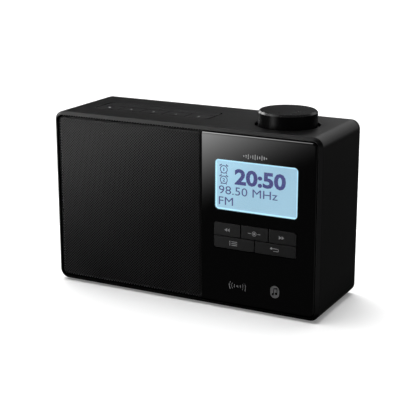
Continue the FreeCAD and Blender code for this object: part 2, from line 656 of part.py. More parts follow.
def main_board_parts():
    """Capacitors, coils, the amplifier with its heat sink, and the connectors: one solid each."""
    top = MAIN_BOARD_Z + BOARD_T
    parts = []
    for x, y, r, h in ((44, 16, 5.0, 13.0), (56, 18, 5.0, 13.0), (38, 5, 4.0, 9.0), (88, 12, 4.0, 9.0)):
        can = rod("z", (x, y), r, top, top + h)
        parts.append(rounded(can, "z", top + h, 0.7))
    for x, y in ((30, 10), (30, -4)):
        coil = rod("z", (x, y), 4.0, top, top + 4.5)
        parts.append(bevelled(coil, "z", top + 4.5, 0.8))
    chip = box(42, 54, -14, -4, top, top + 1.6)
    fins = [box(42 + 2.2 * i, 43 + 2.2 * i, -14, -4, top + 3.0, top + 10.0) for i in range(6)]
    parts += [chip, joined([box(42, 54, -14, -4, top + 1.6, top + 3.0)] + fins)]
    parts += [box(24.5, 30.5, -14, -10, top, top + 5), box(84, 98, -21, -17, top, top + 3.0)]
    parts += [box(94, 106, -12, -8, top, top + 3.0)]
    return parts


def tuner_shield():
    top = MAIN_BOARD_Z + BOARD_T
    return box(62, 92, -14, 6, top, top + 4.0).cut(box(62.4, 91.6, -13.6, 5.6, top - 1, top + 3.6))


def dc_socket():
    top = MAIN_BOARD_Z + BOARD_T
    body = box(DC_X - 5, DC_X + 5, 26.0, BACK - 3.0, top, top + 11.5)
    nose = rod("y", (DC_X, SOCKET_Z), 4.7, BACK - 3.0, BACK - 0.8)
    bore = rod("y", (DC_X, SOCKET_Z), 3.2, BACK - 12.0, BACK + 1)
    pin = rod("y", (DC_X, SOCKET_Z), 1.0, BACK - 13.0, BACK - 3.5)
    return joined([joined([body, nose]).cut(bore), pin])


def headphone_socket():
    top = MAIN_BOARD_Z + BOARD_T
    body = box(JACK_X - 4, JACK_X + 4, 25.0, BACK - 3.0, top, top + 11.5)
    nose = rod("y", (JACK_X, SOCKET_Z), 3.1, BACK - 3.0, BACK - 0.8)
    bore = rod("y", (JACK_X, SOCKET_Z), JACK_R, BACK - 0.8 - JACK_DEPTH, BACK + 1)
    return joined([body, nose]).cut(bore)


def ribbon(points, x0, x1, t=0.4):
    """A flat cable: a bent line in a plane across X, given thickness and width."""
    outline = []
    for sign in (1, -1):
        side = []
        for i, (y, z) in enumerate(points):
            before = points[max(i - 1, 0)]
            after = points[min(i + 1, len(points) - 1)]
            dy, dz = after[0] - before[0], after[1] - before[1]
            length = math.hypot(dy, dz)
            side.append(V(x0, y - sign * t / 2 * dz / length, z + sign * t / 2 * dy / length))
        outline += side if sign == 1 else side[::-1]
    face = Part.Face(Part.makePolygon(outline + outline[:1]))
    return face.extrude(V(x1 - x0, 0, 0))


def front_ribbon_cable():
    top = MAIN_BOARD_Z + BOARD_T
    y = FRONT_BOARD_Y + BOARD_T
    route = [(y + 2.2, 60), (y + 4.0, 55), (y + 4.3, 44), (-24.5, 31), (-20.5, 24), (-19.0, top + 3.1)]
    return ribbon(route, 85, 97)


def top_ribbon_cable():
    under = TOP_BOARD_Z - BOARD_T
    top = MAIN_BOARD_Z + BOARD_T
    route = [(8, under - 0.1), (9.5, 132), (11, 120), (9, 80), (2, 50), (-7, 34), (-10, top + 3.1)]
    return ribbon(route, 95, 105)


def speaker_cable():
    top = MAIN_BOARD_Z + BOARD_T
    x, z = SPEAKER_X + 22, SPEAKER_Z - 24
    route = [(x, PLATE_Y, z), (x, PLATE_Y + 9, z), (-17, -2, 42), (-2, -1, 32), (14, -6, 28),
             (23, -8, 27), (26.3, -12, 24.5), (26.3, -12, top + 5.0)]
    return [cable([(x + dx, y, z) for x, y, z in route], 0.9) for dx in (0.0, 2.4)]


def antenna_lead():
    """The ring tag round the antenna's post, and the wire from it to the tuner."""
    tag_back, tag_front, low = BACK - 4.0, BACK - 4.7, ANT_Z - 8.0
    tag = joined([pipe("y", (ANT_X, ANT_Z), 5.2, 3.3, tag_front, tag_back),
                  box(ANT_X - 1.5, ANT_X + 1.5, tag_front, tag_back, low - 1.5, ANT_Z - 4.2)])
    route = [(ANT_X, tag_front, low), (ANT_X, BACK - 10, low), (ANT_X + 2, BACK - 13, low - 10),
             (ANT_X + 6, BACK - 12, 104), (ANT_X + 8, BACK - 14, 84), (ANT_X + 6, BACK - 17, 64),
             (ANT_X + 1, 20, 49), (ANT_X - 6, 10, 37), (88, 2, 29), (86, -2, 24.5),
             (86, -2, MAIN_BOARD_Z + BOARD_T + 4.0)]
    return [tag, cable(route, 0.8)]


# ------------------------------------------------------------------ antenna
def antenna_base():
    at = (ANT_X, ANT_Z)
    post = rod("y", at, 3.0, BACK - 7.0, BACK + 0.3)
    keeper = rod("y", at, 5.2, BACK - 7.0, BACK - 4.8)
    head = bevelled(rod("y", at, 5.5, BACK + 0.15, BACK + 1.6), "y", BACK + 1.6, 0.4)
    tongue = box(ANT_X - 3, ANT_X + 3, BACK + 1.4, ANT_Y, ANT_Z - 1.5, ANT_Z + 1.5)
    eye = rod("z", (ANT_X, ANT_Y), 3.0, ANT_Z - 1.5, ANT_Z + 1.5)
    bore = rod("z", (ANT_X, ANT_Y), 1.2 + RUNNING, ANT_Z - 5, ANT_Z + 5)
    return joined([post, keeper, head, tongue, eye]).cut(bore)


def antenna_pin():
    return rod("z", (ANT_X, ANT_Y), 1.2, ANT_Z - 3.2, ANT_Z + 3.2)


def antenna_tube(index):
    """Section 1 is the widest and carries the fork; each later one slides inside the one before."""
    r = ANT_RADII[index - 1]
    at = (ANT_Y, ANT_Z)
    end = ANT_ROOT - ANT_TUBE - ANT_STEP * (index - 1)
    if index == 1:
        tube = rod("x", at, r, end, ANT_ROOT).cut(rod("x", at, r - ANT_WALL, end - 1, ANT_ROOT - 2))
        knuckle = box(ANT_ROOT - 1, ANT_ROOT + 3.0, ANT_Y - 3, ANT_Y + 3, ANT_Z - 3.2, ANT_Z + 3.2).common(
            rod("x", at, r, ANT_ROOT - 1, ANT_ROOT + 3.0))
        ears = []
        for z0, z1 in ((ANT_Z - 3.2, ANT_Z - 1.6), (ANT_Z + 1.6, ANT_Z + 3.2)):
            ears.append(box(ANT_ROOT + 1, ANT_X, ANT_Y - 2.4, ANT_Y + 2.4, z0, z1))
            ears.append(rod("z", (ANT_X, ANT_Y), 2.4, z0, z1))
        slot = box(ANT_X - 4.2, ANT_X + 5, ANT_Y - 5, ANT_Y + 5, ANT_Z - 1.6, ANT_Z + 1.6)
        pin = rod("z", (ANT_X, ANT_Y), 1.2, ANT_Z - 5, ANT_Z + 5)
        return joined([tube, knuckle] + ears).cut([slot, pin])
    start = ANT_ROOT - 2.5 - ANT_STEP * (index - 1)
    if index < len(ANT_RADII):
        return pipe("x", at, r, r - ANT_WALL, end, start)
    wire = rod("x", at, r, end - 3, start)
    tip = rod("x", at, 2.6, end - 5.5, end - 0.2)
    return joined([wire, rounded(tip, "x", end - 5.5, 1.0)])


# ------------------------------------------------------------------ fasteners
def rear_cover_screws():
    return [screw("y", -1, (x, BACK - 1.2, z), (2.8, 1.1), (1.15, 11.0)) for x, z in REAR_SCREWS]


def frame_screws():
    """The same screw holds the front frame to the housing and the three boards to their bosses."""
    head, shank = (2.4, 1.5), (1.15, 4.8)
    screws = [screw("y", -1, (x, FRAME_BACK + TAB_T, z), head, shank) for x, z in FRAME_SCREWS]
    screws += [screw("y", -1, (x, FRONT_BOARD_Y + BOARD_T, z), head, shank) for x, z in PANEL_BOSSES]
    screws += [screw("z", 1, (x, y, TOP_BOARD_Z - BOARD_T), head, shank) for x, y in TOP_BOSSES]
    screws += [screw("z", -1, (x, y, MAIN_BOARD_Z + BOARD_T), head, shank) for x, y in MAIN_BOSSES]
    return screws


# ------------------------------------------------------------------ all the pieces
def pieces():
    made = {f.__name__: f() for f in (
        main_housing, rear_cover, rubber_feet, front_frame, front_panel, speaker_grille, grille_cloth,
        display_lens, lcd_cell, lcd_backlight, lcd_holder, front_keypad_mat, front_board,
        front_board_parts, top_keypad_mat, top_board, volume_knob, encoder_shaft, encoder_body, encoder_nut,
        speaker_gasket, speaker_basket, speaker_top_plate, speaker_magnet, speaker_yoke, voice_coil,
        speaker_cone, dust_cap, speaker_surround, speaker_spider, speaker_screws,
        main_board, main_board_parts, tuner_shield, dc_socket, headphone_socket,
        front_ribbon_cable, top_ribbon_cable, speaker_cable, antenna_lead,
        antenna_base, antenna_pin, rear_cover_screws, frame_screws)}
    made.update({name: front_key(name) for name in keys_rects()})
    made.update({name: top_key(name) for name in top_rects()})
    made.update({"antenna_tube_%d" % i: antenna_tube(i) for i in range(1, len(ANT_RADII))})
    made["antenna_tip"] = antenna_tube(len(ANT_RADII))
    return made


os.makedirs("parts", exist_ok=True)
for name, made in pieces().items():
    solids = made if isinstance(made, list) else made.Solids
    bad = [s for s in solids if not s.isValid() or s.Volume <= 0]
    print("%-22s solids %2d %s" % (name, len(solids), "NOT VALID" if bad or not solids else ""))
    Part.makeCompound([s for m in solids for s in m.Solids]).exportStep("parts/%s.step" % name)
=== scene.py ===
import math

import bmesh
import bpy
from mathutils import Matrix, Vector


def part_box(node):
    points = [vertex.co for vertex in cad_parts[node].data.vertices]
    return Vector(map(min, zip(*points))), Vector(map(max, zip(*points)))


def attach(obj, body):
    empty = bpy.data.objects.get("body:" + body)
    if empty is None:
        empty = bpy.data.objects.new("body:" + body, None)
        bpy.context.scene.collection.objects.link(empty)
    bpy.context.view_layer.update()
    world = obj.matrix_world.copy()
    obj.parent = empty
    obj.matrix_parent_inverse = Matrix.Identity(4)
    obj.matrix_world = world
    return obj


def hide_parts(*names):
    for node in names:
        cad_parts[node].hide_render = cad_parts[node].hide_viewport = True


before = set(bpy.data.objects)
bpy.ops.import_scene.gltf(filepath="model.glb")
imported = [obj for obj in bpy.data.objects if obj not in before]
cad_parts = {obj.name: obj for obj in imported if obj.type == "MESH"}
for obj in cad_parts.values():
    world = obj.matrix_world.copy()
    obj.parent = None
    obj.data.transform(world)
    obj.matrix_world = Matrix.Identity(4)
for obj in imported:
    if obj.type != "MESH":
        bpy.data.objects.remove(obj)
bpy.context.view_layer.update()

mm = 0.001


# shader and geometry tree helpers
def addNode(tree, kind, inputs=None, **settings):
    made = tree.nodes.new(kind)
    for key, value in settings.items():
        setattr(made, key, value)
    for key, value in (inputs or {}).items():
        if isinstance(value, bpy.types.NodeSocket):
            tree.links.new(value, made.inputs[key])
        else:
            made.inputs[key].default_value = value
    return made


def calc(tree, operation, first, second=0.0, third=0.0, clamp=False):
    made = addNode(tree, "ShaderNodeMath", {0: first, 1: second, 2: third}, operation=operation, use_clamp=clamp)
    return made.outputs[0]


def blendColour(tree, share, first, second):
    return addNode(tree, "ShaderNodeMix", {0: share, 6: first, 7: second}, data_type="RGBA").outputs[2]


def newGroup(name, kind, inputs, outputs):
    group = bpy.data.node_groups.new(name, kind)
    for label, socket, value in inputs:
        made = group.interface.new_socket(name=label, in_out="INPUT", socket_type="NodeSocket" + socket)
        if value is not None:
            made.default_value = value
    for label, socket in outputs:
        group.interface.new_socket(name=label, in_out="OUTPUT", socket_type="NodeSocket" + socket)
    return group, group.nodes.new("NodeGroupInput").outputs, group.nodes.new("NodeGroupOutput").inputs


# shared surface effects: each puts out a mask or a height
def makeGrain():
    group, given, made = newGroup("mouldGrain", "ShaderNodeTree",
                                  [("Grain Scale", "Float", 2500.0), ("Cloud Scale", "Float", 18.0)],
                                  [("Height", "Float"), ("Cloud", "Float")])
    place = addNode(group, "ShaderNodeTexCoord").outputs["Object"]
    fine = addNode(group, "ShaderNodeTexNoise", {"Vector": place, "Scale": given["Grain Scale"], "Detail": 2.0})
    cloud = addNode(group, "ShaderNodeTexNoise", {"Vector": place, "Scale": given["Cloud Scale"], "Detail": 4.0,
                                                  "Roughness": 0.6})
    group.links.new(fine.outputs[0], made["Height"])
    group.links.new(cloud.outputs[0], made["Cloud"])
    return group


def makeEdgeWear():
    group, given, made = newGroup("edgeWear", "ShaderNodeTree",
                                  [("Reach", "Float", 0.0006), ("Breakup", "Float", 60.0)], [("Mask", "Float")])
    soft = addNode(group, "ShaderNodeBevel", {"Radius": given["Reach"]}, samples=4).outputs[0]
    flat = addNode(group, "ShaderNodeNewGeometry").outputs["Normal"]
    lean = addNode(group, "ShaderNodeVectorMath", {0: soft, 1: flat}, operation="DOT_PRODUCT").outputs["Value"]
    edge = calc(group, "MULTIPLY", calc(group, "SUBTRACT", 1.0, lean), 6.0, clamp=True)
    place = addNode(group, "ShaderNodeTexCoord").outputs["Object"]
    spots = addNode(group, "ShaderNodeTexNoise", {"Vector": place, "Scale": given["Breakup"], "Detail": 5.0})
    rubbed = addNode(group, "ShaderNodeMapRange", {"Value": spots.outputs[0], "From Min": 0.35, "From Max": 0.65})
    group.links.new(calc(group, "MULTIPLY", edge, rubbed.outputs[0]), made["Mask"])
    return group


# painted shade: an ambient occlusion mask that darkens gaps, hollows and corners where shade falls
def makeOpenness():
    group, given, made = newGroup("paintedCreviceShade", "ShaderNodeTree", [("Reach", "Float", 0.004)], [("Unshaded", "Float")])
    shade = addNode(group, "ShaderNodeAmbientOcclusion", {"Distance": given["Reach"]}, samples=8)
    group.links.new(calc(group, "POWER", shade.outputs["AO"], 2.0), made["Unshaded"])
    return group


def makeDust():
    group, given, made = newGroup("settledDust", "ShaderNodeTree",
                                  [("Amount", "Float", 0.05), ("Speck Scale", "Float", 900.0)], [("Mask", "Float")])
    normal = addNode(group, "ShaderNodeNewGeometry").outputs["Normal"]
    upward = addNode(group, "ShaderNodeSeparateXYZ", {0: normal}).outputs["Z"]
    place = addNode(group, "ShaderNodeTexCoord").outputs["Object"]
    specks = addNode(group, "ShaderNodeTexNoise", {"Vector": place, "Scale": given["Speck Scale"], "Detail": 3.0})
    sparse = addNode(group, "ShaderNodeMapRange", {"Value": specks.outputs[0], "From Min": 0.55, "From Max": 0.8})
    lying = calc(group, "MULTIPLY", calc(group, "MAXIMUM", upward, 0.0), sparse.outputs[0])
    group.links.new(calc(group, "MULTIPLY", lying, given["Amount"]), made["Mask"])
    return group


def makeStreaks():
    group, given, made = newGroup("drawnStreaks", "ShaderNodeTree",
                                  [("Stretch", "Vector", (40.0, 2500.0, 2500.0))], [("Value", "Float")])
    place = addNode(group, "ShaderNodeTexCoord").outputs["Object"]
    pulled = addNode(group, "ShaderNodeVectorMath", {0: place, 1: given["Stretch"]}, operation="MULTIPLY").outputs[0]
    lines = addNode(group, "ShaderNodeTexNoise", {"Vector": pulled, "Scale": 1.0, "Detail": 2.0})
    group.links.new(lines.outputs[0], made["Value"])
    return group


def makeWeave():
    group, given, made = newGroup("plainWeave", "ShaderNodeTree",
                                  [("Threads", "Float", 1400.0)], [("Height", "Float"), ("Gaps", "Float")])
    place = addNode(group, "ShaderNodeTexCoord").outputs["Object"]
    parts = addNode(group, "ShaderNodeSeparateXYZ", {0: place}).outputs
    turn = calc(group, "MULTIPLY", given["Threads"], math.pi)
    across = calc(group, "SINE", calc(group, "MULTIPLY", parts["X"], turn))
    along = calc(group, "SINE", calc(group, "MULTIPLY", parts["Z"], turn))
    crossing = calc(group, "MULTIPLY", across, along)
    group.links.new(calc(group, "MULTIPLY_ADD", crossing, 0.5, 0.5), made["Height"])
    depth = calc(group, "MULTIPLY", calc(group, "ABSOLUTE", across), calc(group, "ABSOLUTE", along))
    group.links.new(calc(group, "SUBTRACT", 1.0, depth), made["Gaps"])
    return group


mouldGrain, edgeWear, settledDust, paintedCreviceShade = makeGrain(), makeEdgeWear(), makeDust(), makeOpenness()
drawnStreaks, plainWeave = makeStreaks(), makeWeave()
print("surface effects ready")


def useGroup(tree, group, **inputs):
    made = tree.nodes.new("ShaderNodeGroup")
    made.node_tree = group
    for key, value in inputs.items():
        made.inputs[key].default_value = value
    return made.outputs


# patterns for one finish: each returns a mask, a second colour and a height
def boardPattern(tree, place):
    bricks = addNode(tree, "ShaderNodeTexBrick", {"Vector": place, "Scale": 140.0, "Mortar Size": 0.012,
                                                  "Brick Width": 1.7, "Row Height": 0.31})
    dots = addNode(tree, "ShaderNodeTexVoronoi", {"Vector": place, "Scale": 230.0, "Randomness": 0.55})
    pads = calc(tree, "LESS_THAN", dots.outputs["Distance"], 0.16)
    tracks = calc(tree, "MULTIPLY", bricks.outputs["Fac"], 0.45)
    return calc(tree, "MAXIMUM", pads, tracks), (0.42, 0.44, 0.40, 1), bricks.outputs["Fac"]


def ribbonPattern(tree, place):
    across = addNode(tree, "ShaderNodeSeparateXYZ", {0: place}).outputs["X"]
    wave = calc(tree, "ABSOLUTE", calc(tree, "SINE", calc(tree, "MULTIPLY", across, math.pi / (1.0 * mm))))
    return calc(tree, "LESS_THAN", wave, 0.35), (0.12, 0.12, 0.125, 1), wave


def pulpPattern(tree, place):
    fibres = addNode(tree, "ShaderNodeTexNoise", {"Vector": place, "Scale": 700.0, "Detail": 8.0, "Distortion": 2.5})
    return calc(tree, "GREATER_THAN", fibres.outputs[0], 0.6), (0.09, 0.085, 0.075, 1), fibres.outputs[0]


def weavePattern(tree, place):
    made = useGroup(tree, plainWeave, Threads=1300.0)
    return calc(tree, "MULTIPLY", made["Gaps"], 0.8), (0.002, 0.002, 0.002, 1), made["Height"]


def streakPattern(tree, place):
    made = useGroup(tree, drawnStreaks)
    return calc(tree, "MULTIPLY", made["Value"], 0.35), (0.3, 0.3, 0.31, 1), made["Value"]


def windingPattern(tree, place):
    along = addNode(tree, "ShaderNodeSeparateXYZ", {0: place}).outputs["Y"]
    turns = calc(tree, "ABSOLUTE", calc(tree, "SINE", calc(tree, "MULTIPLY", along, math.pi / (0.35 * mm))))
    return calc(tree, "LESS_THAN", turns, 0.3), (0.16, 0.05, 0.02, 1), turns


def sinterPattern(tree, place):
    pits = addNode(tree, "ShaderNodeTexVoronoi", {"Vector": place, "Scale": 900.0})
    return calc(tree, "LESS_THAN", pits.outputs["Distance"], 0.18), (0.01, 0.01, 0.011, 1), pits.outputs["Distance"]


def diffuserPattern(tree, place):
    cells = addNode(tree, "ShaderNodeTexVoronoi", {"Vector": place, "Scale": 650.0, "Randomness": 0.1})
    return calc(tree, "MULTIPLY", cells.outputs["Distance"], 0.3), (0.5, 0.58, 0.64, 1), cells.outputs["Distance"]


# every finish of the radio, in linear colours; the crevice shade value is how far painted shade darkens gaps and
# hollows, and dulled lowers the sheen
# by the way a face turns: axis, value there, distance for the low sheen, distance for the full one, low sheen
finishes = {
    "housingSatin": dict(colour=(0.0030, 0.0030, 0.0031), second=(0.0042, 0.0042, 0.0043), rough=0.36, spread=0.05,
                         sheen=0.40, dulled=("Y", -1.0, 0.05, 0.2, 0.06), creviceShade=0.03, grain=2600.0, bump=0.10,
                         wear=(0.05, 0.05, 0.05), dust=0.05),
    "coverMatt": dict(colour=(0.0085, 0.0085, 0.0088), second=(0.012, 0.012, 0.0122), rough=0.52, spread=0.06,
                      grain=1500.0, bump=0.25, wear=(0.04, 0.04, 0.04), dust=0.05),
    "panelGloss": dict(colour=(0.0022, 0.0022, 0.0024), second=(0.0030, 0.0030, 0.0032), rough=0.035, spread=0.015,
                       grain=120.0, bump=0.004, dust=0.01),
    "grilleCoat": dict(colour=(0.032, 0.032, 0.033), second=(0.038, 0.038, 0.039), rough=0.17, spread=0.04,
                       sheen=0.072, grain=4000.0, bump=0.03),
    "acousticCloth": dict(colour=(0.0015, 0.0015, 0.0015), rough=0.95, sheen=0.0, pattern=weavePattern, bump=0.4),
    "frameMoulding": dict(colour=(0.012, 0.012, 0.013), second=(0.017, 0.017, 0.018), rough=0.5, spread=0.05,
                          grain=1800.0, bump=0.15, wear=(0.05, 0.05, 0.05)),
    "keySatin": dict(colour=(0.0025, 0.0025, 0.0026), second=(0.0032, 0.0032, 0.0033), rough=0.33, spread=0.05,
                     sheen=0.075, grain=3200.0, bump=0.06, wear=(0.04, 0.04, 0.04), dust=0.03),
    "knobSatin": dict(colour=(0.0068, 0.0068, 0.0070), second=(0.0085, 0.0085, 0.0088), rough=0.28, spread=0.05,
                      sheen=0.40, dulled=("Z", 0.6, 0.36, 0.15, 0.035), grain=3200.0, bump=0.05,
                      wear=(0.05, 0.05, 0.05), dust=0.04),
    "topKeySatin": dict(colour=(0.0075, 0.0075, 0.0077), second=(0.0095, 0.0095, 0.0097), rough=0.40, spread=0.05,
                        sheen=0.16, creviceShade=0.004, grain=3200.0, bump=0.06, wear=(0.04, 0.04, 0.04), dust=0.03),
    "greySilicone": dict(colour=(0.10, 0.10, 0.105), second=(0.13, 0.13, 0.135), rough=0.62, spread=0.08,
                         grain=1500.0, bump=0.15, dust=0.2),
    "blackRubber": dict(colour=(0.012, 0.012, 0.012), second=(0.022, 0.021, 0.020), rough=0.72, spread=0.08,
                        grain=1200.0, bump=0.35, dust=0.15),
    "softRubber": dict(colour=(0.014, 0.014, 0.014), second=(0.02, 0.02, 0.02), rough=0.55, spread=0.08,
                       grain=1500.0, bump=0.15),
    "closedFoam": dict(colour=(0.02, 0.02, 0.02), second=(0.035, 0.035, 0.035), rough=0.9, spread=0.05,
                       grain=2200.0, bump=0.6),
    "greenBoard": dict(colour=(0.006, 0.085, 0.032), second=(0.008, 0.105, 0.04), rough=0.28, spread=0.05,
                       grain=900.0, bump=0.08, pattern=boardPattern),
    "chipMoulding": dict(colour=(0.018, 0.018, 0.019), second=(0.028, 0.028, 0.029), rough=0.45, spread=0.08,
                         grain=2200.0, bump=0.15, wear=(0.3, 0.3, 0.3)),
    "tinnedSheet": dict(colour=(0.60, 0.60, 0.57), second=(0.48, 0.48, 0.46), rough=0.30, spread=0.10, metal=1.0,
                        grain=260.0, bump=0.04, wear=(0.75, 0.74, 0.7)),
    "zincPlate": dict(colour=(0.56, 0.57, 0.58), second=(0.42, 0.43, 0.44), rough=0.30, spread=0.10, metal=1.0,
                      grain=900.0, bump=0.05, wear=(0.8, 0.8, 0.8)),
    "blackOxide": dict(colour=(0.018, 0.018, 0.019), second=(0.035, 0.034, 0.033), rough=0.36, spread=0.10,
                       metal=0.7, grain=1200.0, bump=0.06, wear=(0.35, 0.34, 0.33)),
    "blackEnamel": dict(colour=(0.02, 0.02, 0.021), second=(0.03, 0.03, 0.031), rough=0.3, spread=0.08,
                        grain=500.0, bump=0.06, wear=(0.35, 0.35, 0.35)),
    "greyFerrite": dict(colour=(0.035, 0.035, 0.038), second=(0.05, 0.05, 0.052), rough=0.6, spread=0.08,
                        grain=1600.0, bump=0.25, pattern=sinterPattern, wear=(0.12, 0.12, 0.12)),
    "pressedPulp": dict(colour=(0.03, 0.029, 0.027), second=(0.045, 0.043, 0.04), rough=0.85, spread=0.05,
                        bump=0.35, pattern=pulpPattern),
    "copperWinding": dict(colour=(0.70, 0.28, 0.11), second=(0.55, 0.2, 0.08), rough=0.28, spread=0.05, metal=1.0,
                          bump=0.5, pattern=windingPattern),
    "resinCloth": dict(colour=(0.50, 0.27, 0.09), second=(0.42, 0.21, 0.07), rough=0.7, spread=0.05, bump=0.5,
                       pattern=weavePattern),
    "whiteDiffuser": dict(colour=(0.72, 0.80, 0.85), rough=0.45, spread=0.05, bump=0.08, pattern=diffuserPattern),
    "drawnAlloy": dict(colour=(0.70, 0.70, 0.71), second=(0.6, 0.6, 0.61), rough=0.26, spread=0.08, metal=1.0,
                       bump=0.08, pattern=streakPattern),
    "brightChrome": dict(colour=(0.74, 0.75, 0.76), second=(0.68, 0.69, 0.70), rough=0.08, spread=0.05, metal=1.0,
                         grain=700.0, bump=0.01, wear=(0.85, 0.85, 0.86), dust=0.04),
    "greyRibbon": dict(colour=(0.40, 0.40, 0.41), second=(0.46, 0.46, 0.47), rough=0.42, spread=0.05, bump=0.5,
                       pattern=ribbonPattern),
    "redInsulation": dict(colour=(0.30, 0.012, 0.010), second=(0.36, 0.02, 0.014), rough=0.36, spread=0.06,
                          grain=900.0, bump=0.06),
    "blackInsulation": dict(colour=(0.012, 0.012, 0.013), second=(0.02, 0.02, 0.021), rough=0.36, spread=0.06,
                            grain=900.0, bump=0.06),
    # painted light: these two inks glow, though the print is no lamp, so the marks show brighter
    "printedInkPaintedGlow": dict(colour=(0.42, 0.42, 0.43), second=(0.34, 0.34, 0.35), rough=0.55, spread=0.05,
                       grain=3000.0, bump=0.05, glow=(0.05, 0.05, 0.05)),
    "paleInkPaintedGlow": dict(colour=(0.42, 0.42, 0.43), second=(0.36, 0.36, 0.37), rough=0.5, spread=0.05,
                    grain=3000.0, bump=0.05, glow=(0.10, 0.10, 0.10)),
    "dimInk": dict(colour=(0.050, 0.050, 0.052), second=(0.042, 0.042, 0.044), rough=0.5, spread=0.05,
                   grain=3000.0, bump=0.05),
    "topInk": dict(colour=(0.34, 0.34, 0.35), second=(0.28, 0.28, 0.29), rough=0.55, spread=0.05,
                   grain=3000.0, bump=0.05),
    "darkCrystal": dict(colour=(0.006, 0.005, 0.04), second=(0.008, 0.007, 0.05), rough=0.4, spread=0.05,
                        grain=3000.0, bump=0.02, glow=(0.014, 0.013, 0.105)),
    "thinCrystal": dict(colour=(0.010, 0.012, 0.05), second=(0.014, 0.016, 0.06), rough=0.4, spread=0.05,
                        grain=3000.0, bump=0.02, glow=(0.016, 0.020, 0.11)),
}


def makeMaterial(name, look):
    made = bpy.data.materials.new(name)
    made.use_nodes = True
    tree = made.node_tree
    tree.nodes.clear()
    shader = addNode(tree, "ShaderNodeBsdfPrincipled", {"Metallic": look.get("metal", 0.0)})
    out = addNode(tree, "ShaderNodeOutputMaterial")
    tree.links.new(shader.outputs[0], out.inputs[0])
    grain = useGroup(tree, mouldGrain, **{"Grain Scale": look.get("grain", 1500.0)})
    place = addNode(tree, "ShaderNodeTexCoord").outputs["Object"]
    colour = blendColour(tree, grain["Cloud"], (*look["colour"], 1), (*look.get("second", look["colour"]), 1))
    height = grain["Height"]
    if "pattern" in look:
        share, other, height = look["pattern"](tree, place)
        colour = blendColour(tree, share, colour, other)
    if "wear" in look:
        worn = calc(tree, "MULTIPLY", useGroup(tree, edgeWear)["Mask"], 0.6)
        colour = blendColour(tree, worn, colour, (*look["wear"], 1))
    if "dust" in look:
        lying = useGroup(tree, settledDust, Amount=look["dust"])["Mask"]
        colour = blendColour(tree, lying, colour, (0.25, 0.24, 0.22, 1))
    rough, spread = look["rough"], look.get("spread", 0.05)
    varied = addNode(tree, "ShaderNodeMapRange", {"Value": grain["Cloud"], "From Min": 0.3, "From Max": 0.7,
                                                  "To Min": rough - spread / 2, "To Max": rough + spread / 2})
    bump = addNode(tree, "ShaderNodeBump", {"Strength": look["bump"], "Distance": 0.1 * mm, "Height": height})
    gloss = look.get("sheen", 0.5)
    shader.inputs["Specular IOR Level"].default_value = gloss
    if "dulled" in look:
        axis, centre, dullAt, fullAt, low = look["dulled"]
        normal = addNode(tree, "ShaderNodeTexCoord").outputs["Normal"]
        facing = addNode(tree, "ShaderNodeSeparateXYZ", {0: normal})
        turned = calc(tree, "ABSOLUTE", calc(tree, "SUBTRACT", facing.outputs[axis], centre))
        gloss = addNode(tree, "ShaderNodeMapRange", {"Value": turned, "From Min": dullAt, "From Max": fullAt,
                                                     "To Min": low, "To Max": gloss}).outputs[0]
        tree.links.new(gloss, shader.inputs["Specular IOR Level"])
    # painted shade: gaps and hollows are darkened in the colour, and their sheen is lowered there as well
    if "creviceShade" in look:
        colour = blendColour(tree, useGroup(tree, paintedCreviceShade, Reach=look["creviceShade"])["Unshaded"], (0, 0, 0, 1), colour)
        shade = addNode(tree, "ShaderNodeAmbientOcclusion", {"Distance": look["creviceShade"]}, samples=8)
        gloss = calc(tree, "MULTIPLY", calc(tree, "POWER", shade.outputs["AO"], 2.0), gloss)
        tree.links.new(gloss, shader.inputs["Specular IOR Level"])
    tree.links.new(colour, shader.inputs["Base Color"])
    tree.links.new(varied.outputs[0], shader.inputs["Roughness"])
    tree.links.new(bump.outputs[0], shader.inputs["Normal"])
    if "glow" in look:
        shader.inputs["Emission Color"].default_value = (*look["glow"], 1)
        shader.inputs["Emission Strength"].default_value = 1.0
    return made


materials = {name: makeMaterial(name, look) for name, look in finishes.items()}

# which finish each CAD node has
dressing = {
    "housingSatin": ["main_housing"],
    "coverMatt": ["rear_cover"],
    "blackRubber": ["rubber_feet"],
    "frameMoulding": ["front_frame", "lcd_holder"],
    "panelGloss": ["front_panel"],
    "acousticCloth": ["grille_cloth"],
    "whiteDiffuser": ["lcd_backlight"],
    "keySatin": ["rewind_key", "enter_key", "forward_key", "menu_key", "back_key"],
    "topKeySatin": ["power_key", "snooze_key"] + ["preset_key_%d" % i for i in range(1, 6)],
    "knobSatin": ["volume_knob"],
    "greySilicone": ["front_keypad_mat", "top_keypad_mat"],
    "greenBoard": ["front_board", "top_board", "main_board"],
    "chipMoulding": ["front_board_parts", "main_board_parts", "dc_socket", "headphone_socket"],
    "tinnedSheet": ["tuner_shield", "encoder_body"],
    "zincPlate": ["encoder_nut", "speaker_top_plate", "speaker_yoke", "speaker_screws", "frame_screws"],
    "blackOxide": ["rear_cover_screws"],
    "blackEnamel": ["speaker_basket"],
    "greyFerrite": ["speaker_magnet"],
    "closedFoam": ["speaker_gasket"],
    "softRubber": ["speaker_surround"],
    "pressedPulp": ["speaker_cone", "dust_cap"],
    "copperWinding": ["voice_coil"],
    "resinCloth": ["speaker_spider"],
    "drawnAlloy": ["encoder_shaft", "antenna_pin"],
    "brightChrome": ["antenna_base", "antenna_tube_1", "antenna_tube_2", "antenna_tube_3", "antenna_tip"],
    "greyRibbon": ["front_ribbon_cable", "top_ribbon_cable"],
    "redInsulation": ["speaker_cable"],
    "blackInsulation": ["antenna_lead"],
}


def dress(node, material):
    piece = bpy.data.objects[node]
    if not piece.material_slots:
        piece.data.materials.append(material)
    for slot in piece.material_slots:
        slot.material = material


for finish, nodes in dressing.items():
    for node in nodes:
        dress(node, materials[finish])
print("materials on", sum(len(nodes) for nodes in dressing.values()), "nodes")


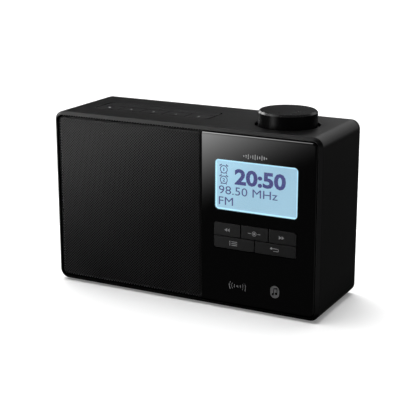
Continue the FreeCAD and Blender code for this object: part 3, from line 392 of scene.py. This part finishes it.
# lit display: glowing cell, brighter towards its border, with a faint dot raster
display = {
    "middle": (0.262, 0.420, 0.516), "border": (0.48, 0.80, 0.95), "borderWidth": 1.1 * mm, "dotPitch": 0.55 * mm,
    "dotLine": 0.22, "dotShade": 0.10, "cloudShade": 0.08, "cornerFrom": 40 * mm, "cornerTo": 85 * mm,
    "cornerShade": 0.30, "lensTint": (0.93, 0.97, 1.0), "lensBend": 1.12,
    # each place is left, right, low and high, in millimetres
    "digits": "20:50", "digitsBold": 0.038, "digitsPlace": (49.3, 94.6, 107.9, 121.4),
    "lineOne": "98.50 MHz", "lineOnePlace": (35.0, 87.5, 99.0, 105.9),
    "lineTwo": "FM", "lineTwoPlace": (35.0, 48.0, 89.8, 96.5),
    "alarms": {"1": (39.5, 119.6), "2": (39.5, 110.8)},
}
glassLow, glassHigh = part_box("display_lens")
cellLow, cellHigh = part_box("lcd_cell")


def makeCellMaterial():
    made = bpy.data.materials.new("litCell")
    made.use_nodes = True
    tree = made.node_tree
    shader = tree.nodes["Principled BSDF"]
    shader.inputs["Roughness"].default_value = 0.5
    shader.inputs["Emission Strength"].default_value = 1.0
    place = addNode(tree, "ShaderNodeTexCoord").outputs["Object"]
    parts = addNode(tree, "ShaderNodeSeparateXYZ", {0: place}).outputs
    nearest = None
    for axis, low, high in (("X", glassLow[0], glassHigh[0]), ("Z", glassLow[2], glassHigh[2])):
        inside = calc(tree, "MINIMUM", calc(tree, "SUBTRACT", parts[axis], low),
                      calc(tree, "SUBTRACT", high, parts[axis]))
        nearest = inside if nearest is None else calc(tree, "MINIMUM", nearest, inside)
    border = display["borderWidth"]
    rim = addNode(tree, "ShaderNodeMapRange", {"Value": nearest, "From Min": border * 0.5, "From Max": border * 1.5,
                                               "To Min": 1.0, "To Max": 0.0})
    cloud = useGroup(tree, mouldGrain)["Cloud"]
    lit = blendColour(tree, rim.outputs[0], (*display["middle"], 1), (*display["border"], 1))
    lit = blendColour(tree, calc(tree, "MULTIPLY", cloud, display["cloudShade"]), lit, (*display["border"], 1))
    upperLeft = addNode(tree, "ShaderNodeMapRange", {"Value": calc(tree, "SUBTRACT", parts["Z"], parts["X"]),
                                                     "From Min": display["cornerFrom"],
                                                     "From Max": display["cornerTo"],
                                                     "To Max": display["cornerShade"]})
    lit = blendColour(tree, upperLeft.outputs[0], lit, (*display["border"], 1))
    raster = None
    for axis in ("X", "Z"):
        wave = calc(tree, "SINE", calc(tree, "MULTIPLY", parts[axis], math.pi / display["dotPitch"]))
        line = calc(tree, "LESS_THAN", calc(tree, "ABSOLUTE", wave), display["dotLine"])
        raster = line if raster is None else calc(tree, "MAXIMUM", raster, line)
    lit = blendColour(tree, calc(tree, "MULTIPLY", raster, display["dotShade"]), lit, (*display["border"], 1))
    tree.links.new(lit, shader.inputs["Emission Color"])
    shader.inputs["Base Color"].default_value = (0.05, 0.08, 0.10, 1)
    return made


def makeLensMaterial():
    made = bpy.data.materials.new("clearLens")
    made.use_nodes = True
    tree = made.node_tree
    shader = tree.nodes["Principled BSDF"]
    shader.inputs["Base Color"].default_value = (*display["lensTint"], 1)
    shader.inputs["Transmission Weight"].default_value = 1.0
    shader.inputs["IOR"].default_value = display["lensBend"]
    cloud = useGroup(tree, mouldGrain, **{"Grain Scale": 400.0, "Cloud Scale": 60.0})["Cloud"]
    smear = addNode(tree, "ShaderNodeMapRange", {"Value": cloud, "From Min": 0.4, "From Max": 0.8,
                                                 "To Min": 0.0, "To Max": 0.03})
    tree.links.new(smear.outputs[0], shader.inputs["Roughness"])
    return made


dress("lcd_cell", makeCellMaterial())
dress("display_lens", makeLensMaterial())


# flat marks: closed thin solids drawn in (across, up), then laid on a face of the radio
def ringPoints(centre, radius, steps=40, start=0.0, sweep=360.0):
    turns = [math.radians(start + sweep * i / steps) for i in range(steps + (sweep < 360.0))]
    return [(centre[0] + radius * math.cos(t), centre[1] + radius * math.sin(t)) for t in turns]


def band(inner, outer, closed):
    quads = []
    count = len(inner)
    for i in range(count if closed else count - 1):
        j = (i + 1) % count
        quads.append([inner[i], inner[j], outer[j], outer[i]])
    return quads


def ring(centre, radius, width, start=0.0, sweep=360.0):
    inner = ringPoints(centre, radius - width / 2, start=start, sweep=sweep)
    outer = ringPoints(centre, radius + width / 2, start=start, sweep=sweep)
    return band(inner, outer, sweep >= 360.0)


def disc(centre, radius):
    return [ringPoints(centre, radius, 24)]


def bar(first, last, width):
    way = Vector((last[0] - first[0], last[1] - first[1])).normalized()
    side = Vector((-way.y, way.x)) * width / 2
    return [[(first[0] - side.x, first[1] - side.y), (last[0] - side.x, last[1] - side.y),
             (last[0] + side.x, last[1] + side.y), (first[0] + side.x, first[1] + side.y)]]


def roundedBox(width, height, radius):
    points = []
    for sx, sy, start in ((1, 1, 0), (-1, 1, 90), (-1, -1, 180), (1, -1, 270)):
        centre = (sx * (width / 2 - radius), sy * (height / 2 - radius))
        points += ringPoints(centre, radius, 6, start, 90.0)
    return points


def textOutline(words, bold=0.0):
    curve = bpy.data.curves.new("words", "FONT")
    curve.body = words
    curve.offset = bold
    curve.resolution_u = 3
    holder = bpy.data.objects.new("words", curve)
    bpy.context.scene.collection.objects.link(holder)
    bpy.context.view_layer.update()
    flat = bpy.data.meshes.new_from_object(holder.evaluated_get(bpy.context.evaluated_depsgraph_get()))
    polygons = [[tuple(flat.vertices[i].co[:2]) for i in face.vertices] for face in flat.polygons]
    bpy.data.objects.remove(holder)
    bpy.data.curves.remove(curve)
    bpy.data.meshes.remove(flat)
    return polygons


def fitInto(polygons, left, right, low, high):
    across = [p[0] for face in polygons for p in face]
    upward = [p[1] for face in polygons for p in face]
    wide = (right - left) / (max(across) - min(across))
    tall = (high - low) / (max(upward) - min(upward))
    return [[(left + (u - min(across)) * wide, low + (v - min(upward)) * tall) for u, v in face]
            for face in polygons]


def onFront(depth):
    return lambda u, v, lift: (u * mm, depth - lift, v * mm)


def onTop(height):
    return lambda u, v, lift: (u * mm, v * mm, height + lift)


markThick = {"printed": 0.03 * mm, "frontKey": 0.008 * mm, "note": 0.02 * mm}


def addMark(name, polygons, place, body, material, thick=markThick["printed"]):
    mesh = bpy.data.meshes.new(name)
    sheet = bmesh.new()
    for face in polygons:
        sheet.faces.new([sheet.verts.new(place(u, v, 0.0)) for u, v in face])
    bmesh.ops.remove_doubles(sheet, verts=sheet.verts, dist=0.001 * mm)
    bottom = list(sheet.faces)
    raised = bmesh.ops.extrude_face_region(sheet, geom=bottom, use_keep_orig=True)
    lift = Vector(place(0, 0, thick)) - Vector(place(0, 0, 0.0))
    bmesh.ops.translate(sheet, vec=lift, verts=[v for v in raised["geom"] if isinstance(v, bmesh.types.BMVert)])
    bmesh.ops.recalc_face_normals(sheet, faces=sheet.faces)
    sheet.to_mesh(mesh)
    sheet.free()
    mesh.materials.append(material)
    piece = bpy.data.objects.new(name, mesh)
    bpy.context.scene.collection.objects.link(piece)
    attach(piece, body)
    return piece


def shifted(polygons, u, v):
    return [[(a + u, b + v) for a, b in face] for face in polygons]


def alarmClock(number):
    marks = ring((0, 0), 3.1, 0.75)
    if number == "1":
        marks += bar((0, -1.4), (0, 1.4), 0.9)
    else:
        marks += fitInto(textOutline(number, 0.03), -1.1, 1.1, -1.5, 1.5)
    for side in (-1, 1):
        marks += bar((side * 1.9, 4.1), (side * 3.9, 2.8), 1.0)
        marks += bar((side * 1.9, -2.7), (side * 2.7, -3.6), 0.8)
    return marks


def addDisplay():
    face = onFront(cellLow[1])
    bigDigits = fitInto(textOutline(display["digits"], display["digitsBold"]), *display["digitsPlace"])
    addMark("display_digits", bigDigits, face, "cabinet", materials["darkCrystal"])
    small = []
    for line in ("lineOne", "lineTwo"):
        small += fitInto(textOutline(display[line]), *display[line + "Place"])
    for number, place in display["alarms"].items():
        small += shifted(alarmClock(number), *place)
    addMark("display_lines", small, face, "cabinet", materials["thinCrystal"])


addDisplay()
print("display drawn")


# printed marks on the keys and the panel, some inks with a painted glow; places are in millimetres on each face
def doubleArrow(way):
    return [[(way * (at + 1.15), 0.0), (way * (at - 1.15), 1.5), (way * (at - 1.15), -1.5)] for at in (-1.2, 1.2)]


def listMark():
    rows = []
    for v in (-1.5, 0.0, 1.5):
        rows += bar((-1.8, v), (3.4, v), 0.5) + disc((-3.3, v), 0.45)
    return rows


def returnMark():
    marks = bar((-2.6, 0.9), (2.4, 0.9), 0.42) + bar((-1.2, -1.2), (2.4, -1.2), 0.42)
    marks += ring((2.4, -0.15), 1.05, 0.42, -90.0, 180.0)
    return marks + [[(-4.4, 0.9), (-2.4, 2.0), (-2.4, -0.2)]]


def selectMark():
    marks = ring((0, 0), 1.75, 0.42) + disc((0, 0), 0.8)
    return marks + bar((-5.6, 0), (-3.0, 0), 0.42) + bar((3.0, 0), (5.6, 0), 0.42)


def powerMark():
    return ring((0, 0), 1.6, 0.45, 120.0, 300.0) + bar((0, 0.2), (0, 2.2), 0.45)


def moonMark():
    outer = ringPoints((0, 0), 1.7, 30, 60.0, 240.0)
    inner = ringPoints((0.95, 0.3), 1.45, 30, 78.0, 205.0)
    return band(inner, outer, False)


def snoozeMark():
    marks = shifted(moonMark(), -8.0, 0.0)
    for u, size in ((-2.5, 1.5), (3.0, 1.15), (7.5, 0.9)):
        corners = [(u - size, size), (u + size, size), (u - size, -size), (u + size, -size)]
        for first, last in zip(corners, corners[1:]):
            marks += bar(first, last, 0.5)
    return marks


def wavesMark():
    marks = disc((0, 0), 1.0)
    for radius in (3.0, 5.2, 7.4):
        for side in (0.0, 180.0):
            marks += ring((0, 0), radius, 0.75, side - 27.0, 54.0)
    return marks


def soundBarsMark():
    marks = []
    for i, tall in enumerate((1.4, 2.6, 4.0, 2.2, 3.2, 4.3, 3.2, 2.2, 4.0, 2.6, 1.4)):
        u = (i - 5) * 2.0
        marks += bar((u, -tall / 2), (u, tall / 2), 0.8)
    return marks


def noteMark():
    marks = bar((-1.0, -2.0), (-1.0, 2.8), 0.6) + bar((2.0, -1.2), (2.0, 3.4), 0.6)
    marks += bar((-1.2, 2.7), (2.2, 3.3), 1.0)
    return marks + disc((-1.75, -2.1), 1.1) + disc((1.25, -1.3), 1.1)


frontMarks = {
    "rewind_key": (doubleArrow(-1), 43.4, 69.0), "forward_key": (doubleArrow(1), 92.3, 69.0),
    "enter_key": (selectMark(), 67.9, 69.0), "menu_key": (listMark(), 49.3, 58.1),
    "back_key": (returnMark(), 86.4, 58.1),
}
topMarks = {"power_key": (powerMark(), -72.6, 8.4), "snooze_key": (snoozeMark(), -18.0, 7.6)}
numerals = {"halfWide": 0.85, "low": -9.2, "high": -6.4, "bold": 0.02}
panelMarks = {
    "panel_bars_mark": (soundBarsMark(), 67.9, 132.8, "paleInkPaintedGlow"),
    "panel_waves_mark": (wavesMark(), 53.0, 21.6, "dimInk"),
    "panel_badge_mark": ([roundedBox(8.0, 10.6, 3.9)], 86.9, 22.0, "dimInk"),
}


def addKeyMark(node, polygons, face, ink, thick=markThick["printed"]):
    addMark(node + "_mark", polygons, face, node + "_body", materials[ink], thick)


def addKeyMarks():
    for node, (polygons, u, v) in frontMarks.items():
        addKeyMark(node, shifted(polygons, u, v), onFront(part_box(node)[0][1]), "printedInkPaintedGlow", markThick["frontKey"])
    for node, (polygons, u, v) in topMarks.items():
        addKeyMark(node, shifted(polygons, u, v), onTop(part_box(node)[1][2]), "dimInk")
    for i in range(1, 6):
        node = "preset_key_%d" % i
        low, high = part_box(node)
        middle = (low[0] + high[0]) / 2 / mm
        left, right = middle - numerals["halfWide"], middle + numerals["halfWide"]
        digit = fitInto(textOutline(str(i), numerals["bold"]), left, right, numerals["low"], numerals["high"])
        addKeyMark(node, digit, onTop(high[2]), "topInk")


def addPanelMarks():
    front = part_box("front_panel")[0][1]
    for name, (polygons, u, v, ink) in panelMarks.items():
        addMark(name, shifted(polygons, u, v), onFront(front), "cabinet", materials[ink])
    u, v = panelMarks["panel_badge_mark"][1:3]  # the note lies on the badge
    addMark("panel_note_mark", shifted(noteMark(), u, v), onFront(front - markThick["printed"]), "cabinet",
            materials["panelGloss"], markThick["note"])


addKeyMarks()
addPanelMarks()
print("marks printed")


# perforated grille: a flat lattice of holes from geometry nodes, then rolled over the pan's edges
grille = {
    "pitchAcross": 2.55 * mm, "pitchUp": 2.4 * mm, "holeRadius": 0.78 * mm, "thick": 0.3 * mm, "holeSides": 8,
    "rollRadius": 2.5 * mm, "corner": 4.4 * mm, "sections": 3, "backGap": 0.4 * mm,
}
panLow, panHigh = (Vector(corner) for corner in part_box("speaker_grille"))


def makePerforation():
    tree, given, made = newGroup("perforatedSheet", "GeometryNodeTree", [
        ("Geometry", "Geometry", None), ("Pitch Across", "Float", 0.0019), ("Pitch Up", "Float", 0.0018),
        ("Hole Radius", "Float", 0.0004), ("Thickness", "Float", 0.0005), ("Hole Sides", "Int", 8),
        ("Columns", "Int", 10), ("Rows", "Int", 10), ("Material", "Material", None)], [("Geometry", "Geometry")])

    def half(socket):
        return calc(tree, "MULTIPLY", socket, 0.5)

    def vector(x=0.0, y=0.0, z=0.0):
        return addNode(tree, "ShaderNodeCombineXYZ", {"X": x, "Y": y, "Z": z}).outputs[0]

    hole = addNode(tree, "GeometryNodeCurvePrimitiveCircle", {"Resolution": given["Hole Sides"],
                                                              "Radius": given["Hole Radius"]}).outputs[0]
    sideways, upward = half(given["Pitch Across"]), half(given["Pitch Up"])
    corners = [vector(x=sideways), vector(y=upward), vector(x=calc(tree, "MULTIPLY", sideways, -1.0)),
               vector(y=calc(tree, "MULTIPLY", upward, -1.0))]
    cell = addNode(tree, "GeometryNodeCurvePrimitiveQuadrilateral", {
        "Point %d" % (i + 1): corner for i, corner in enumerate(corners)}, mode="POINTS")
    face = addNode(tree, "GeometryNodeJoinGeometry")
    tree.links.new(hole, face.inputs[0])
    tree.links.new(cell.outputs[0], face.inputs[0])
    filled = addNode(tree, "GeometryNodeFillCurve", {"Curve": face.outputs[0]}).outputs[0]
    front = addNode(tree, "GeometryNodeTransform", {"Geometry": filled, "Translation": vector(z=given["Thickness"])})
    back = addNode(tree, "GeometryNodeFlipFaces", {"Mesh": filled}).outputs[0]
    outline = addNode(tree, "GeometryNodeCurveToMesh", {"Curve": hole}).outputs[0]
    wall = addNode(tree, "GeometryNodeExtrudeMesh", {"Mesh": outline, "Offset": vector(z=1.0),
                                                     "Offset Scale": given["Thickness"]}, mode="EDGES").outputs[0]
    tile = addNode(tree, "GeometryNodeJoinGeometry")
    for part in (front.outputs[0], back, wall):
        tree.links.new(part, tile.inputs[0])
    lattice = addNode(tree, "GeometryNodeJoinGeometry")
    for shift in (0, 1):
        rows = calc(tree, "SUBTRACT", given["Rows"], shift)
        wide = calc(tree, "MULTIPLY", calc(tree, "SUBTRACT", given["Columns"], 1.0), given["Pitch Across"])
        tall = calc(tree, "MULTIPLY", calc(tree, "SUBTRACT", rows, 1.0), given["Pitch Up"])
        grid = addNode(tree, "GeometryNodeMeshGrid", {"Size X": wide, "Size Y": tall, "Vertices X": given["Columns"],
                                                      "Vertices Y": rows}).outputs[0]
        beside = vector(x=calc(tree, "MULTIPLY", sideways, shift))
        moved = addNode(tree, "GeometryNodeTransform", {"Geometry": grid, "Translation": beside}).outputs[0]
        tree.links.new(moved, lattice.inputs[0])
    stamped = addNode(tree, "GeometryNodeInstanceOnPoints", {"Points": lattice.outputs[0],
                                                             "Instance": tile.outputs[0]}).outputs[0]
    solid = addNode(tree, "GeometryNodeRealizeInstances", {"Geometry": stamped}).outputs[0]
    welded = addNode(tree, "GeometryNodeMergeByDistance", {"Geometry": solid, "Distance": 0.02 * mm}).outputs[0]
    coated = addNode(tree, "GeometryNodeSetMaterial", {"Geometry": welded, "Material": given["Material"]})
    tree.links.new(coated.outputs[0], made["Geometry"])
    return tree


def runTree(tree, name, values):
    holder = bpy.data.objects.new(name, bpy.data.meshes.new(name))
    bpy.context.scene.collection.objects.link(holder)
    modifier = holder.modifiers.new("build", "NODES")
    modifier.node_group = tree
    for item in tree.interface.items_tree:
        if item.in_out == "INPUT" and item.name in values:
            modifier[item.identifier] = values[item.name]
    bpy.context.view_layer.update()
    mesh = bpy.data.meshes.new_from_object(holder.evaluated_get(bpy.context.evaluated_depsgraph_get()))
    bpy.data.objects.remove(holder)
    return mesh


def outlineOffset(across, up, half, corners):
    corner = corners[1] if across > 0 else corners[0]
    reachX, reachZ = abs(across) - (half.x - corner), abs(up) - (half.z - corner)
    signX, signZ = math.copysign(1, across), math.copysign(1, up)
    if reachX > 0 and reachZ > 0:
        length = math.hypot(reachX, reachZ)
        return length - corner, reachX / length * signX, reachZ / length * signZ
    if reachX > reachZ:
        return reachX - corner, signX, 0.0
    return reachZ - corner, 0.0, signZ


def rollPoint(across, up, lift, half, corners):
    past, wayX, wayZ = outlineOffset(across, up, half, corners)
    roll = grille["rollRadius"]
    if past <= 0:
        return across, -lift, up
    turn = min(past / roll, math.pi / 2)
    straight = max(past - roll * math.pi / 2, 0.0)
    out = roll * math.sin(turn) + lift * math.sin(turn) - past
    depth = roll * (1 - math.cos(turn)) + straight - lift * math.cos(turn)
    return across + wayX * out, depth, up + wayZ * out


def closeBorder(sheet, thick):
    layers = {}
    for vert in sheet.verts:
        key = (round(vert.co.x / (0.01 * mm)), round(vert.co.y / (0.01 * mm)))
        layers.setdefault(key, {})[vert.co.z > thick / 2] = vert
    other = {}
    for pair in layers.values():
        if len(pair) == 2:
            other[pair[True]], other[pair[False]] = pair[False], pair[True]
    for edge in [e for e in sheet.edges if e.is_boundary and e.verts[0].co.z > thick / 2]:
        a, b = edge.verts
        if a in other and b in other:
            sheet.faces.new((b, a, other[a], other[b]))


def addGrille():
    roll, thick = grille["rollRadius"], grille["thick"]
    corners = (grille["corner"] - roll, 0.0)
    middle = (panLow + panHigh) / 2
    half = (panHigh - panLow) / 2 - Vector((roll, 0, roll))
    reach = roll * math.pi / 2 + (panHigh.y - panLow.y) - roll - grille["backGap"]
    rows = int(2 * (half.z + reach) / grille["pitchUp"]) + 2
    total = int(2 * (half.x + reach) / grille["pitchAcross"]) + 2
    columns = math.ceil(total / grille["sections"])
    tree = makePerforation()
    pieces = []
    for i in range(grille["sections"]):
        mesh = runTree(tree, "grille_section_%d" % (i + 1), {
            "Pitch Across": grille["pitchAcross"], "Pitch Up": grille["pitchUp"], "Thickness": thick,
            "Hole Radius": grille["holeRadius"], "Hole Sides": grille["holeSides"], "Columns": columns,
            "Rows": rows, "Material": materials["grilleCoat"]})
        sheet = bmesh.new()
        sheet.from_mesh(mesh)
        shift = (i - (grille["sections"] - 1) / 2) * columns * grille["pitchAcross"]
        print("grille section", i + 1, "faces", len(sheet.faces), "verts", len(sheet.verts))
        gone = [f for f in sheet.faces
                if max(outlineOffset(v.co.x + shift, v.co.y, half, corners)[0] for v in f.verts) > reach]
        bmesh.ops.delete(sheet, geom=gone, context="FACES")
        loose = [f for f in sheet.faces if abs(f.normal.z) < 0.5 and any(e.is_boundary for e in f.edges)]
        bmesh.ops.delete(sheet, geom=loose, context="FACES")
        closeBorder(sheet, thick)
        for vert in sheet.verts:
            x, y, z = rollPoint(vert.co.x + shift, vert.co.y, vert.co.z - thick, half, corners)
            vert.co = (middle.x + x, panLow.y + y, middle.z + z)
        bmesh.ops.recalc_face_normals(sheet, faces=sheet.faces)
        sheet.to_mesh(mesh)
        sheet.free()
        piece = bpy.data.objects.new("grille_section_%d" % (i + 1), mesh)
        bpy.context.scene.collection.objects.link(piece)
        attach(piece, "cabinet")
        pieces.append(piece)
    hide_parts("speaker_grille")
    return pieces


addGrille()
print("grille perforated")


# camera, floor and light
studio = {
    "white": 1.05, "fill": 0.12, "floorReach": 12.0, "floorGlow": 0.18,
    "sun": 3.9, "sunFrom": (-0.55, 0.15, 1.5), "sunWidth": 70.0,
    "rear": 0.58, "rearFrom": (0, 0.14, 0.36), "rearAim": (0, 0.13, 0), "rearSize": (0.7, 0.06),
}
view = {"turn": 27.37, "raise": 15.74, "distance": 1028.5 * mm, "right": 3.15 * mm, "up": 67.33 * mm,
        "base": 1.5 * mm, "lens": 100.5}


def addCamera():
    turn, lift = math.radians(view["turn"]), math.radians(view["raise"])
    back = Vector((math.sin(turn) * math.cos(lift), -math.cos(turn) * math.cos(lift), math.sin(lift)))
    right = Vector((math.cos(turn), math.sin(turn), 0))
    up = back.cross(right)
    place = right * view["right"] + up * view["up"] + back * view["distance"] + Vector((0, 0, view["base"]))
    data = bpy.data.cameras.new("camera")
    data.lens = view["lens"]
    data.clip_start = 0.05
    camera = bpy.data.objects.new("camera", data)
    camera.matrix_world = Matrix.Translation(place) @ Matrix((right, up, back)).transposed().to_4x4()
    bpy.context.scene.collection.objects.link(camera)
    bpy.context.scene.camera = camera


def addFloor():
    mesh = bpy.data.meshes.new("floor")
    size = studio["floorReach"]
    mesh.from_pydata([(-size, -size, 0), (size, -size, 0), (size, size, 0), (-size, size, 0)], [], [(0, 1, 2, 3)])
    floor = bpy.data.objects.new("floor", mesh)
    bpy.context.scene.collection.objects.link(floor)
    paper = bpy.data.materials.new("palePaper")
    paper.use_nodes = True
    shader = paper.node_tree.nodes["Principled BSDF"]
    shader.inputs["Base Color"].default_value = (0.9, 0.9, 0.9, 1)
    shader.inputs["Roughness"].default_value = 0.9
    shader.inputs["Specular IOR Level"].default_value = 0.0
    shader.inputs["Emission Color"].default_value = (1, 1, 1, 1)
    shader.inputs["Emission Strength"].default_value = studio["floorGlow"]
    mesh.materials.append(paper)
    floor.visible_glossy = False
    floor.visible_diffuse = False


def addLight(name, kind, place, aim, power, **settings):
    data = bpy.data.lights.new(name, kind)
    for key, value in settings.items():
        setattr(data, key, value)
    data.energy = power
    lamp = bpy.data.objects.new(name, data)
    way = Vector(aim) - Vector(place)
    lamp.matrix_world = Matrix.Translation(place) @ way.to_track_quat("-Z", "Y").to_matrix().to_4x4()
    lamp.visible_glossy = False  # gloss sees the soft boxes below
    bpy.context.scene.collection.objects.link(lamp)


# light that only gloss sees: the sloping band in front, the card above it, and round-cornered soft boxes
softBoxes = {
    "frontBand": {"slope": 3.44, "rise": 6.42, "start": 0.283, "most": 0.90, "gain": 24.0, "top": (-0.20, -0.10),
                  "side": (0.76, 0.98)},
    "upperCard": {"from": 0.38, "to": 0.85, "radiance": 19.0, "rise": (-0.20, -0.10, 1.0, 1.6),
                  "side": (0.95, 1.2)},
    # where it is seen, half width, half height, fade and radiance
    "round": [((0.89, -0.35, -0.29), 0.30, 0.30, 0.20, 0.20), ((-0.86, 0.27, 0.45), 0.10, 0.10, 0.06, 12.0),
              ((-0.81, 0.545, 0.21), 0.10, 0.10, 0.06, 5.0), ((-0.72, 0.69, 0.02), 0.12, 0.05, 0.05, 0.5),
              ((0.08, 0.87, 0.46), 0.36, 0.12, 0.14, 0.85), ((0.45, 0.86, 0.16), 0.10, 0.14, 0.14, 0.5),
              ((-0.64, -0.20, 0.74), 0.13, 0.16, 0.14, 2.2)],
    "dim": 0.035,
}


def ramp(tree, value, low, high):
    return addNode(tree, "ShaderNodeMapRange", {"Value": value, "From Min": low, "From Max": high},
                   interpolation_type="SMOOTHSTEP").outputs[0]


def frontPlace(tree, way):
    parts = addNode(tree, "ShaderNodeSeparateXYZ", {0: way}).outputs
    ahead = calc(tree, "LESS_THAN", parts["Y"], -0.05)
    slope = calc(tree, "DIVIDE", parts["X"], calc(tree, "MINIMUM", parts["Y"], -0.05))
    rise = calc(tree, "DIVIDE", parts["Z"], calc(tree, "MAXIMUM", calc(tree, "MULTIPLY", parts["Y"], -1.0), 0.05))
    return ahead, slope, rise


def frontBand(tree, way, look):
    ahead, slope, rise = frontPlace(tree, way)
    level = calc(tree, "MULTIPLY_ADD", slope, look["slope"], look["start"])
    level = calc(tree, "ADD", level, calc(tree, "MULTIPLY", rise, look["rise"]))
    level = calc(tree, "MINIMUM", calc(tree, "MAXIMUM", level, 0.0), look["most"])
    bright = calc(tree, "MULTIPLY", calc(tree, "POWER", level, 2.2), look["gain"])
    bright = calc(tree, "MULTIPLY", bright, ramp(tree, rise, look["top"][1], look["top"][0]))
    bright = calc(tree, "MULTIPLY", bright, ramp(tree, slope, look["side"][1], look["side"][0]))
    return calc(tree, "MULTIPLY", bright, ahead)


def upperCard(tree, way, look):
    ahead, slope, rise = frontPlace(tree, way)
    level = calc(tree, "MULTIPLY", ramp(tree, slope, look["from"], look["to"]), look["radiance"])
    level = calc(tree, "MULTIPLY", level, ramp(tree, rise, look["rise"][0], look["rise"][1]))
    level = calc(tree, "MULTIPLY", level, ramp(tree, rise, look["rise"][3], look["rise"][2]))
    level = calc(tree, "MULTIPLY", level, ramp(tree, slope, look["side"][1], look["side"][0]))
    return calc(tree, "MULTIPLY", level, ahead)


def roundedBoxGlow(tree, way, middle, wide, tall, fade, radiance):
    ahead = Vector(middle).normalized()
    across = Vector((ahead.y, -ahead.x, 0)).normalized()
    over = across.cross(ahead)
    edges = []
    for axis, reach in ((across, wide), (over, tall)):
        along = addNode(tree, "ShaderNodeVectorMath", {0: way, 1: tuple(axis)}, operation="DOT_PRODUCT")
        edges.append(ramp(tree, calc(tree, "ABSOLUTE", along.outputs["Value"]), reach + fade, reach))
    facing = addNode(tree, "ShaderNodeVectorMath", {0: way, 1: tuple(ahead)}, operation="DOT_PRODUCT")
    lit = calc(tree, "MULTIPLY", calc(tree, "MULTIPLY", edges[0], edges[1]), radiance)
    return calc(tree, "MULTIPLY", lit, calc(tree, "GREATER_THAN", facing.outputs["Value"], 0.0))


def addWorld():
    world = bpy.data.worlds.new("studio")
    world.use_nodes = True
    bpy.context.scene.world = world
    tree = world.node_tree
    tree.nodes.clear()
    way = addNode(tree, "ShaderNodeTexCoord").outputs["Generated"]
    glow = calc(tree, "ADD", frontBand(tree, way, softBoxes["frontBand"]), softBoxes["dim"])
    glow = calc(tree, "ADD", glow, upperCard(tree, way, softBoxes["upperCard"]))
    for box in softBoxes["round"]:
        glow = calc(tree, "ADD", glow, roundedBoxGlow(tree, way, *box))
    rays = addNode(tree, "ShaderNodeLightPath").outputs
    fill = addNode(tree, "ShaderNodeBackground", {"Color": (1, 1, 1, 1), "Strength": studio["fill"]})
    mirrored = addNode(tree, "ShaderNodeBackground", {"Color": (1, 1, 1, 1), "Strength": glow})
    mixed = addNode(tree, "ShaderNodeMixShader", {0: rays["Is Glossy Ray"], 1: fill.outputs[0],
                                                  2: mirrored.outputs[0]})
    white = addNode(tree, "ShaderNodeBackground", {"Color": (1, 1, 1, 1), "Strength": studio["white"]})
    final = addNode(tree, "ShaderNodeMixShader", {0: rays["Is Camera Ray"], 1: mixed.outputs[0],
                                                  2: white.outputs[0]})
    out = addNode(tree, "ShaderNodeOutputWorld")
    tree.links.new(final.outputs[0], out.inputs[0])


addCamera()
addFloor()
addLight("ceilingGlow", "SUN", studio["sunFrom"], (0, 0, 0), studio["sun"], angle=math.radians(studio["sunWidth"]))
addLight("rearGlow", "AREA", studio["rearFrom"], studio["rearAim"], studio["rear"], shape="RECTANGLE",
         size=studio["rearSize"][0], size_y=studio["rearSize"][1])
bpy.data.objects["rearGlow"].visible_camera = False
addWorld()
bpy.context.scene.view_settings.view_transform = "Standard"
print("stage set")
